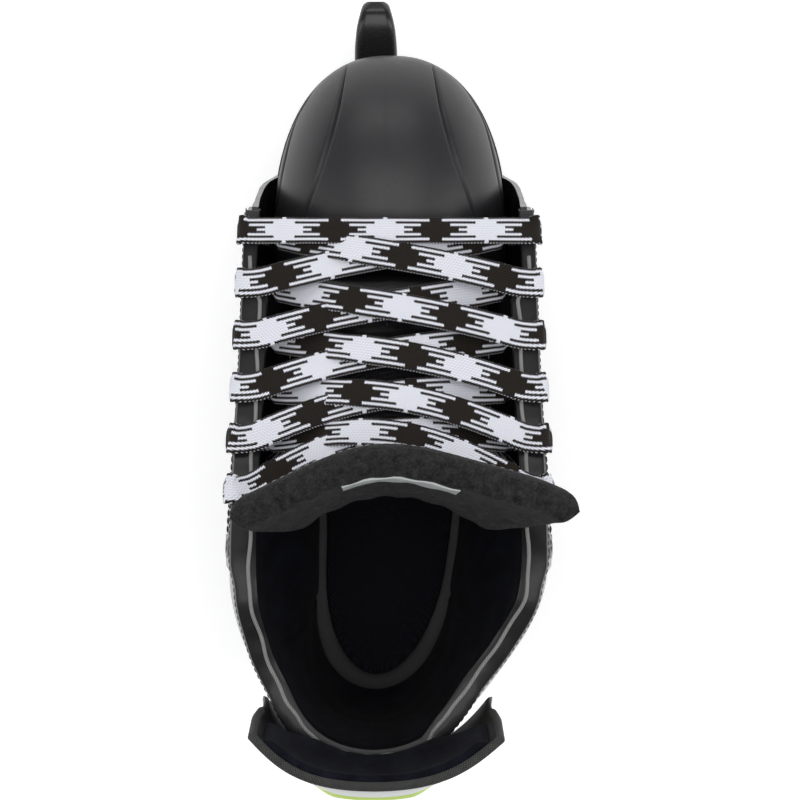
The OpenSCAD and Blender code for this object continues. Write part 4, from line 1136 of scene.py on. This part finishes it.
def cap_columns(x):
    """Angles over the cap from foot to foot, close together at the grooves, and the grooves' depths."""
    centre, side = groove_angle(x, CENTRE_GROOVE), groove_angle(x, SIDE_GROOVE)
    side = min(side, centre - 0.08)
    near = [(-1.0, 0.0), (-0.55, 0.25), (-0.2, 0.9), (0.0, 1.0), (0.2, 0.9), (0.55, 0.25), (1.0, 0.0)]
    width = 0.034
    half = [(a, 0.0) for a in np.linspace(0, side - width, 16, endpoint=False)]
    half += [(side + width * n, 0.8 * d) for n, d in near]
    half += [(a, 0.0) for a in np.linspace(side + width, centre - width, 18)[1:-1]]
    half += [(centre + width * n, 1.1 * d) for n, d in near]
    half += [(a, 0.0) for a in np.linspace(centre + width, math.pi / 2, 26)[1:]]
    other = [(math.pi - a, d) for a, d in half[:-1][::-1]]
    return np.array(half + other)


def toe_cap():
    first = math.asin((CAP_REAR - TOE_CENTRE) / TOE_REACH)
    turns = np.concatenate([np.linspace(first, math.radians(82), 110), np.radians([84, 86, 87.5, 89])])
    outer, inner = [], []
    for f in turns:
        x = TOE_CENTRE + TOE_REACH * math.sin(f)
        columns = cap_columns(x)
        a, depth = columns[:, 0], columns[:, 1]
        fade = float(ease((TOE_X - 2.5 - x) / 8))
        face = cap_point(x, a, 0)
        lower = cap_point(x, a, 1.0)
        # The cap's middle has a thin moulding seam, pressed in towards a point inside the toe.
        seam = 0.35 * np.exp(-((a - math.pi / 2) / 0.012) ** 2) * fade
        outwards = unit(face - np.array([x - 14, swing(x), sole_at(x) + 12]))
        outer.append(face + (lower - face) * (depth * fade * 1.3)[:, None] - outwards * seam[:, None])
        inner.append(cap_point(TOE_CENTRE + (TOE_REACH - TOE_WALL) * math.sin(f), a, TOE_WALL))
    shell = slab("toe_cap_shell", np.array(outer), np.array(inner), sharp=None)
    dress(shell, TOE, "toe_plastic", "boot", "toe_cap")


toe_cap()


# ---- Tongue ------------------------------------------------------------------------------------------------
TONGUE_LINE = along([(0.333, 140), (0.42, 124), (0.493, 110.5), (0.565, 97), (0.623, 82), (0.663, 67),
                     (0.688, 57), (0.732, 49)])
HINGE_X = HEEL_X + 0.426 * BOOT_LENGTH
HINGE_Z = sole_at(HINGE_X) + float(curve(TONGUE_LINE, HINGE_X)) + 1.5
TONGUE_TOP = 43
FELT_THICK = 10
COVER_THICK = 1.4
TONGUE_LEAN = [(0, 4), (10, 5), (22, 8.5), (34, 13.5), (TONGUE_TOP, 18)]
TONGUE_FLARE = [(0, 41), (14, 45), (28, 58), (TONGUE_TOP, 67)]
TONGUE_CURL = [(0, 15), (14, 18), (TONGUE_TOP, 22)]


def tongue_stations():
    """Stations from the toe end to the top: x, z, half width, the sides' drop and lie-back, and shift."""
    rows = []
    for q in (74, 80, 86, 93, 104, 120, 136, 149):
        x = TOE_X - q
        half = 42 * mix(0.7, 1, float(ease((q - 84) / 30)))
        z = sole_at(x) + float(curve(TONGUE_LINE, x))
        rows.append((x, z, half, 20 * (half / 46) ** 2, 0.0, float(swing(x))))
    for h in (4, 14, 24, 33, 39, TONGUE_TOP):
        x = HINGE_X + float(curve(TONGUE_LEAN, h))
        drop = mix(15.0, 6.0, float(ease(h / 16)))
        rows.append((x, HINGE_Z + h, float(curve(TONGUE_FLARE, h)), drop, float(curve(TONGUE_CURL, h)),
                     float(swing(HINGE_X)) - 6 * h / TONGUE_TOP))
    return spline(rows, 9)


def tongue_surface(ks, width=1.0):
    """The tongue's outer face and its normals, over its length and over ks across it."""
    rows = tongue_stations()
    x, z, half, drop, back, shift = (rows[:, i][:, None] for i in range(6))
    k = np.asarray(ks)[None, :]
    # Soft scallops where the laces press, and a gentle wave along the flared top.
    wave = 1.6 * np.sin(k * 5.2 + 0.7) * ease((z - HINGE_Z - 10) / 25)
    points = stack(x - back * k * k + wave, k * half * width + shift, z - drop * k * k)
    normals = unit(np.cross(np.gradient(points, axis=1), np.gradient(points, axis=0)))
    upward = math.copysign(1, normals[len(rows) // 2, len(ks) // 2, 2])
    return points, upward * normals


def tongue():
    ks = np.sin(np.linspace(-1, 1, 61) * math.pi / 2)
    points, normals = tongue_surface(ks)
    n = len(points)
    along_top = np.linspace(0, 1, n)[:, None]
    edge = 1 - np.abs(ks)[None, :]
    round_edge = quarter_round(edge / 0.07, 0.02)
    round_top = quarter_round((1 - along_top) * 22, 0.03)
    thick = FELT_THICK * (1 + 0.22 * ease((along_top - 0.8) / 0.15)) * round_edge * round_top
    lumps = 0.35 * np.sin(points[..., 1] * 0.45) * np.sin(along_top * 31)
    middle = points - normals * (COVER_THICK + GAP + FELT_THICK / 2)
    outer = middle + normals * (thick / 2)[..., None]
    inner = middle - normals * (thick / 2 + lumps * round_edge * round_top)[..., None]
    felt = slab("tongue_pad", outer, inner, sharp=None)
    dress(felt, FELT, "felt", None, "tongue_felt_lower", "tongue_felt_upper")
    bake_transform(felt)

    last = int(n * 0.955)
    face, out = (part[:last] for part in tongue_surface(ks * 0.95))
    lip = quarter_round((1 - np.abs(ks)) / 0.04, 0.05)[None, :]
    puff = 0.25 * np.sin(np.linspace(0, 40, last))[:, None]
    top = face + out * ((lip - 1) * COVER_THICK + puff * lip)[..., None]
    base = face - out * COVER_THICK
    cover = slab("tongue_face", top, base, sharp=None)
    dress(cover, COVER, "tongue_cover", None, "tongue_cover_lower", "tongue_cover_upper")
    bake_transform(cover)
    rows = [stitches(f"tongue_side_{k}", top[4:, k], out[4:, k]) for k in (3, 57)]
    rows.append(stitches("tongue_end", top[-3, 4:57], out[-3, 4:57]))
    threads = dress(join("tongue_stitching", rows), PALE_THREAD, "tongue_cover", None)
    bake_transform(threads)

    rows_label = slice(int(n * 0.88), int(n * 0.955))
    columns = slice(23, 39)
    patch = inner[rows_label, columns]
    below = normals[rows_label, columns]
    crinkle = 0.35 * np.sin(patch[..., 1] * 0.5 + 1) * np.sin(patch[..., 2] * 0.7)
    label = slab("tongue_tab", patch - below * 0.1, patch - below * (0.75 + crinkle)[..., None])
    dress(label, LABEL, "label", "tongue_top", "tongue_label")


tongue()


# ---- Tendon guard ------------------------------------------------------------------------------------------
GUARD_BASE = 116
GUARD_WALL = 2.4
GUARD_LINING = 3.0
GUARD_OUT = 1.6
GUARD_SPAN = 0.27
WING_FLARE = 5
WING_DROP = 14


def guard_point(a, h, out):
    """A point out mm outside the wall, a going from the outer wing at -1 round the back to the inner wing
    at 1. Above the rim the guard goes on along the wall's own lines."""
    a, h, out = np.broadcast_arrays(np.asarray(a, float), np.asarray(h, float), np.asarray(out, float))
    u = a * GUARD_SPAN
    rim = rim_at(wall_x(np.abs(u), 1.0))
    t = (h - GUARD_BASE) / (GUARD_HEIGHT - GUARD_BASE)
    stand_off = out + WING_FLARE * np.abs(a) ** 4 * ease(2 * t)
    points = wall(u, np.minimum(h / rim, 1), -stand_off, np.maximum(h - rim, 0), slump=0)
    return points - stack(0, 0, WING_DROP * np.abs(a) ** 3 * ease(t))


def guard_grid(low, top, spread, rows, roll, side_roll):
    """A layer's stations over the guard, and how far its rounded edge has risen there, from 0 to 1."""
    a, h = grid(np.linspace(-spread, spread, 121), np.linspace(low, top, rows))
    edge = np.minimum(np.minimum(h - low, top - h) / roll, (spread - np.abs(a)) / side_roll)
    return a, h, quarter_round(edge, 0.04)


def guard_relief(a, h):
    """Flex grooves near the foot and a raised frame round the accent panel."""
    grooves = sum(-1.1 * np.exp(-((h - base) / 1.3) ** 2) for base in (123.5, 128.5, 133.5))
    frame_edge = np.exp(-((np.abs(a) - 0.56) / 0.02) ** 2) * ease((h - 138) / 4)
    return grooves * ease((0.82 - np.abs(a)) / 0.1) + 0.7 * frame_edge


def guard_shell():
    a, h, soft = guard_grid(GUARD_BASE, GUARD_HEIGHT, 1.0, 110, 1.2, 0.03)
    middle, half = GUARD_OUT + GUARD_WALL / 2, GUARD_WALL / 2
    outer = guard_point(a, h, middle + half * soft + guard_relief(a, h) * soft)
    inner = guard_point(a, h, middle - half * soft)
    dress(slab("guard_shell", outer, inner, sharp=None), GUARD, "guard_plastic", "guard", "tendon_guard")


def guard_pad():
    """The lining: thick over the collar's rim, and thin at the top and at the wings."""
    low, spread = COLLAR_HEIGHT + BINDING_THICK + 4, 0.94
    a, h, soft = guard_grid(low, GUARD_HEIGHT - 1, spread, 60, 2.5, 1 / 14)
    back = GUARD_OUT - GAP
    swell = ease((GUARD_HEIGHT - 4 - h) / (GUARD_HEIGHT - low)) * ease((spread - np.abs(a)) / 0.4)
    inner = guard_point(a, h, back - (GUARD_LINING + 6.5 * swell) * soft)
    pad = slab("guard_pad", guard_point(a, h, back), inner, sharp=None)
    dress(pad, LINING, "lining_fabric", "guard", "guard_lining")


def guard_accent():
    """The two-tone panel, which swells outwards under the guard's upper rim."""
    spread = 0.5
    a, h, soft = guard_grid(GUARD_BASE + 12.3, GUARD_HEIGHT - 3, spread, 70, 0.8, 0.02)
    face = GUARD_OUT + GUARD_WALL + GAP
    flare = 3.0 * ease((h - GUARD_HEIGHT + 34) / 18) * ease((GUARD_HEIGHT - 2 - h) / 9)
    flare *= ease((spread - np.abs(a)) / 0.25)
    outer = guard_point(a, h, face + 0.8 * soft + flare)
    panel = slab("guard_accent", outer, guard_point(a, h, face), sharp=None)
    dress(panel, ACCENT, "accent", "guard", "guard_panel")


def guard_tape():
    """Edge tape along the guard's upper rim and down its wings."""
    foot, top = GUARD_BASE + 22, GUARD_HEIGHT - 0.5
    path_a = np.concatenate([np.full(20, -1.0), np.linspace(-1, 1, 120), np.full(20, 1.0)])
    path_h = np.concatenate([np.linspace(foot, top, 20), np.full(120, top), np.linspace(top, foot, 20)])
    middle = GUARD_OUT + GUARD_WALL / 2
    centre = guard_point(path_a, path_h, middle)
    out = unit(guard_point(path_a, path_h, middle + 1) - centre)
    ahead = unit(np.gradient(centre, axis=0))
    tape = tube("guard_tape", centre, 1.75 * out, 1.5 * unit(np.cross(out, ahead)), 14)
    dress(tape, TAPE, "binding_tape", "guard")


guard_shell()
guard_pad()
guard_accent()
guard_tape()


# ---- Sole, holder and runner -------------------------------------------------------------------------------
SOLE_REACH = TOE_REACH - CAP_OVERHANG


def sole_half(x, inset):
    straight = curve(SOLE_LINE, x) - inset
    share = (x - TOE_CENTRE) / (SOLE_REACH - inset)
    round_toe = (curve(SOLE_LINE, TOE_CENTRE) - inset) * taper(share, TOE_POWER)
    return np.where(x < TOE_CENTRE, straight, round_toe)


def sole_outline(inset):
    """The sole's outline, round the toe and the heel, a distance inside the boot's own."""
    heel = HEEL_X + 3 + inset
    a = np.radians(np.linspace(0, 90, 24))
    heel_x = heel + HEEL_DEPTH * (1 - np.cos(a))
    heel_y = sole_half(heel_x, inset) * np.sin(a)
    side_x = np.linspace(heel + HEEL_DEPTH, TOE_CENTRE, 40)[1:]
    toe_x = TOE_CENTRE + (SOLE_REACH - inset) * np.sin(np.radians(np.linspace(0, 90, 32)))[1:]
    x = np.concatenate([heel_x, side_x, toe_x])
    y = np.concatenate([heel_y, sole_half(side_x, inset), sole_half(toe_x, inset)])
    x = np.concatenate([x, x[-2:0:-1]])
    y = np.concatenate([y, -y[-2:0:-1]])
    return x, y + swing(x)


def sole_solid(name, layers):
    """A plate parallel to the sole from (height, inset) layers."""
    rings = []
    for height, inset in layers:
        x, y = sole_outline(inset)
        rings.append(stack(x, y, sole_at(x) + height))
    n, m = len(rings), len(rings[0])
    return face_outwards(add_mesh(name, np.concatenate(rings), ring_faces(n, m),
                                  np.tile(rings[0][:, :2], (n, 1)), sharp=50))


def sole_parts():
    plate = [(-4.0, 3.0), (-3.9, 0.8), (-3.4, 0.1), (-2.6, -0.5), (-2.2, 0.3), (-1.9, 0.3),
             (-1.5, -0.6), (-0.6, -0.7), (-0.2, -0.2), (-0.15, 2.0)]
    dress(sole_solid("outsole_plate", plate), SOLE, "sole_plastic", "boot", "outsole")
    pad = [(3.1, 11.6), (3.1, 10.4), (4.2, 10.1), (6.2, 10.2), (6.9, 11.0), (7.05, 13.0)]
    bed = dress(sole_solid("footbed_pad", pad), BED, "footbed_fabric", "boot", "footbed")


BEAM_LOW = RUNNER_SHOW
BEAM_TOP = BEAM_LOW + BEAM_HEIGHT
NOSE_X = TOE_X + NOSE_REACH
TAIL_X = HEEL_X - 2
FLANGE_TOP = -4.15
FLANGE_THICK = 4.5


def rounded_ring(half, low, top, corner, steps=5):
    """A rounded rectangle in Y and Z as (y, z) pairs."""
    corner = min(corner, half * 0.95, (top - low) * 0.48)
    pairs = []
    for cy, cz, start in ((half - corner, top - corner, 0), (corner - half, top - corner, 90),
                          (corner - half, low + corner, 180), (half - corner, low + corner, 270)):
        for k in range(steps + 1):
            a = math.radians(start + 90 * k / steps)
            pairs.append((cy + corner * math.cos(a), cz + corner * math.sin(a)))
    return pairs


def holder_beam():
    """The long beam that grips the runner; it sweeps up into a rounded nose."""
    wide = BEAM_WIDTH / 2
    half_line = [(TAIL_X, 5.0), (TAIL_X + 8, wide), (TOE_X - 34, wide), (TOE_X - 6, 9.0),
                 (NOSE_X - 12, 8.2), (NOSE_X - 4, 6.4), (NOSE_X - 1, 5.2), (NOSE_X, 3.6)]
    low_line = [(TAIL_X, BEAM_LOW + 5), (TAIL_X + 5, BEAM_LOW), (NOSE_X - 24, BEAM_LOW),
                (NOSE_X - 12, BEAM_LOW + 3), (NOSE_X - 4, BEAM_LOW + 10), (NOSE_X, BEAM_LOW + 19)]
    top_line = [(TAIL_X, BEAM_TOP - 6), (TAIL_X + 9, BEAM_TOP + 2), (NOSE_X - 48, BEAM_TOP + 2),
                (NOSE_X - 30, BEAM_TOP + 5), (NOSE_X - 14, BEAM_LOW + 27), (NOSE_X - 5, BEAM_LOW + 28),
                (NOSE_X, BEAM_LOW + 24.5)]
    tip = 3.4
    xs = np.concatenate([np.linspace(TAIL_X, TAIL_X + 12, 14), np.linspace(TAIL_X + 16, NOSE_X - 50, 40),
                         np.linspace(NOSE_X - 47, NOSE_X - 4, 30),
                         NOSE_X - tip + tip * np.sin(np.radians(np.linspace(0, 90, 8)))])
    rings = []
    for x in xs:
        half, low, top = (float(curve(line, x)) for line in (half_line, low_line, top_line))
        rings.append([(x, y, z) for y, z in rounded_ring(half, low, top, 3.2)])
    return loft("holder_beam", rings, sharp=60)


def holder_post(name, from_x, to_x, top_half, foot_from, foot_to):
    """A post that spreads from the beam up to the flange."""
    rings = []
    foot = BEAM_TOP - 3
    for t in np.linspace(0, 1, 22):
        spread = ease(t) ** 1.25
        low_x, high_x = mix(foot_from, from_x, spread), mix(foot_to, to_x, spread)
        half = mix(6.6, top_half, spread ** 1.3)
        centre, reach = (low_x + high_x) / 2, (high_x - low_x) / 2
        ring = []
        for k in range(48):
            a = 2 * math.pi * k / 48
            x = centre + reach * math.copysign(abs(math.cos(a)) ** 0.4, math.cos(a))
            y = half * math.copysign(abs(math.sin(a)) ** 0.55, math.sin(a))
            top = sole_at(x) + FLANGE_TOP - FLANGE_THICK + 0.3
            ring.append((x, y, mix(foot, top, t)))
        rings.append(ring)
    return loft(name, rings, sharp=60)


def holder_flange(name, from_x, to_x):
    """The plate under the sole, with rounded corners."""
    x, y = sole_outline(7.4)
    x = np.clip(x, from_x, to_x)
    middle_x = (from_x + to_x) / 2
    rings = []
    for height, inset in ((FLANGE_TOP - FLANGE_THICK, 1.2), (FLANGE_TOP - FLANGE_THICK + 0.5, 0.3),
                          (FLANGE_TOP - FLANGE_THICK + 1.4, 0), (FLANGE_TOP - 0.4, 0), (FLANGE_TOP, 0.3)):
        shrink = 1 - inset / 25
        px = middle_x + (x - middle_x) * shrink
        rings.append(stack(px, y * shrink, sole_at(px) + height))
    keep = np.linalg.norm(np.diff(rings[0], axis=0, append=rings[0][:1]), axis=1) > 0.05
    rings = [ring[keep] for ring in rings]
    return loft(name, rings, sharp=50)


def holder():
    front, rear = (TOE_X - 118, TOE_X - 24), (HEEL_X + 8, HEEL_X + 74)
    pieces = [holder_beam(),
              holder_post("front_post", front[0] + 6, front[1] - 5, 17.5, front[0] + 18, front[1] + 3),
              holder_post("rear_post", rear[0] + 4, rear[1] - 4, 11.5, rear[0] - 1, rear[1] - 13),
              holder_flange("front_flange", *front), holder_flange("rear_flange", *rear)]
    dress(join("holder_body", pieces), HOLDER, "holder_plastic", "boot", "holder")


def rocker(x, front, rear):
    """Height of the runner's edge over the ice."""
    rocker_r, toe_r = 2740, 26
    past = max(abs(x) - RUNNER_FLAT / 2, 0)
    fore = min(max(x - (front - toe_r), 0), toe_r - 0.2)
    aft = max(rear + 14 - x, 0)
    return past * past / (2 * rocker_r) + toe_r * (1 - math.sqrt(1 - (fore / toe_r) ** 2)) + aft * aft / 26


def runner():
    front, rear = NOSE_X - 5, TAIL_X + 5
    top = BEAM_LOW + 11
    xs = np.concatenate([np.linspace(rear + 0.3, rear + 14, 14), np.linspace(rear + 18, front - 27, 60),
                         front - 26 + 25.4 * np.sin(np.radians(np.linspace(0, 90, 30)))])
    half = RUNNER_THICK / 2
    rings = []
    for x in xs:
        low = rocker(x, front, rear)
        # Ground edges with a shallow hollow between them.
        section = [(half - 0.12, low), (half, low + 0.12), (half, top - 0.4), (half - 0.4, top),
                   (0.4 - half, top), (-half, top - 0.4), (-half, low + 0.12), (0.12 - half, low),
                   (0.0, low + 0.05)]
        rings.append([(x, y, z) for y, z in section])
    blade = loft("runner_blade", rings, sharp=30)
    dress(blade, STEEL, "runner_steel", "boot", "runner")


sole_parts()
holder()
runner()


# ---- CAD nodes that stay -----------------------------------------------------------------------------------
for paint, slot, *nodes in ((BOARD, "board", "insole_board"),
                            (FOAM, "foam", "toe_lining", "foam_medial", "foam_lateral"),
                            (BOLT, "bright_metal", "runner_studs", "runner_nuts"),
                            (RIVET, "rivet_metal", "rivets_front", "rivets_rear")):
    for node in nodes:
        dress(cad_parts[node], paint, slot, None)
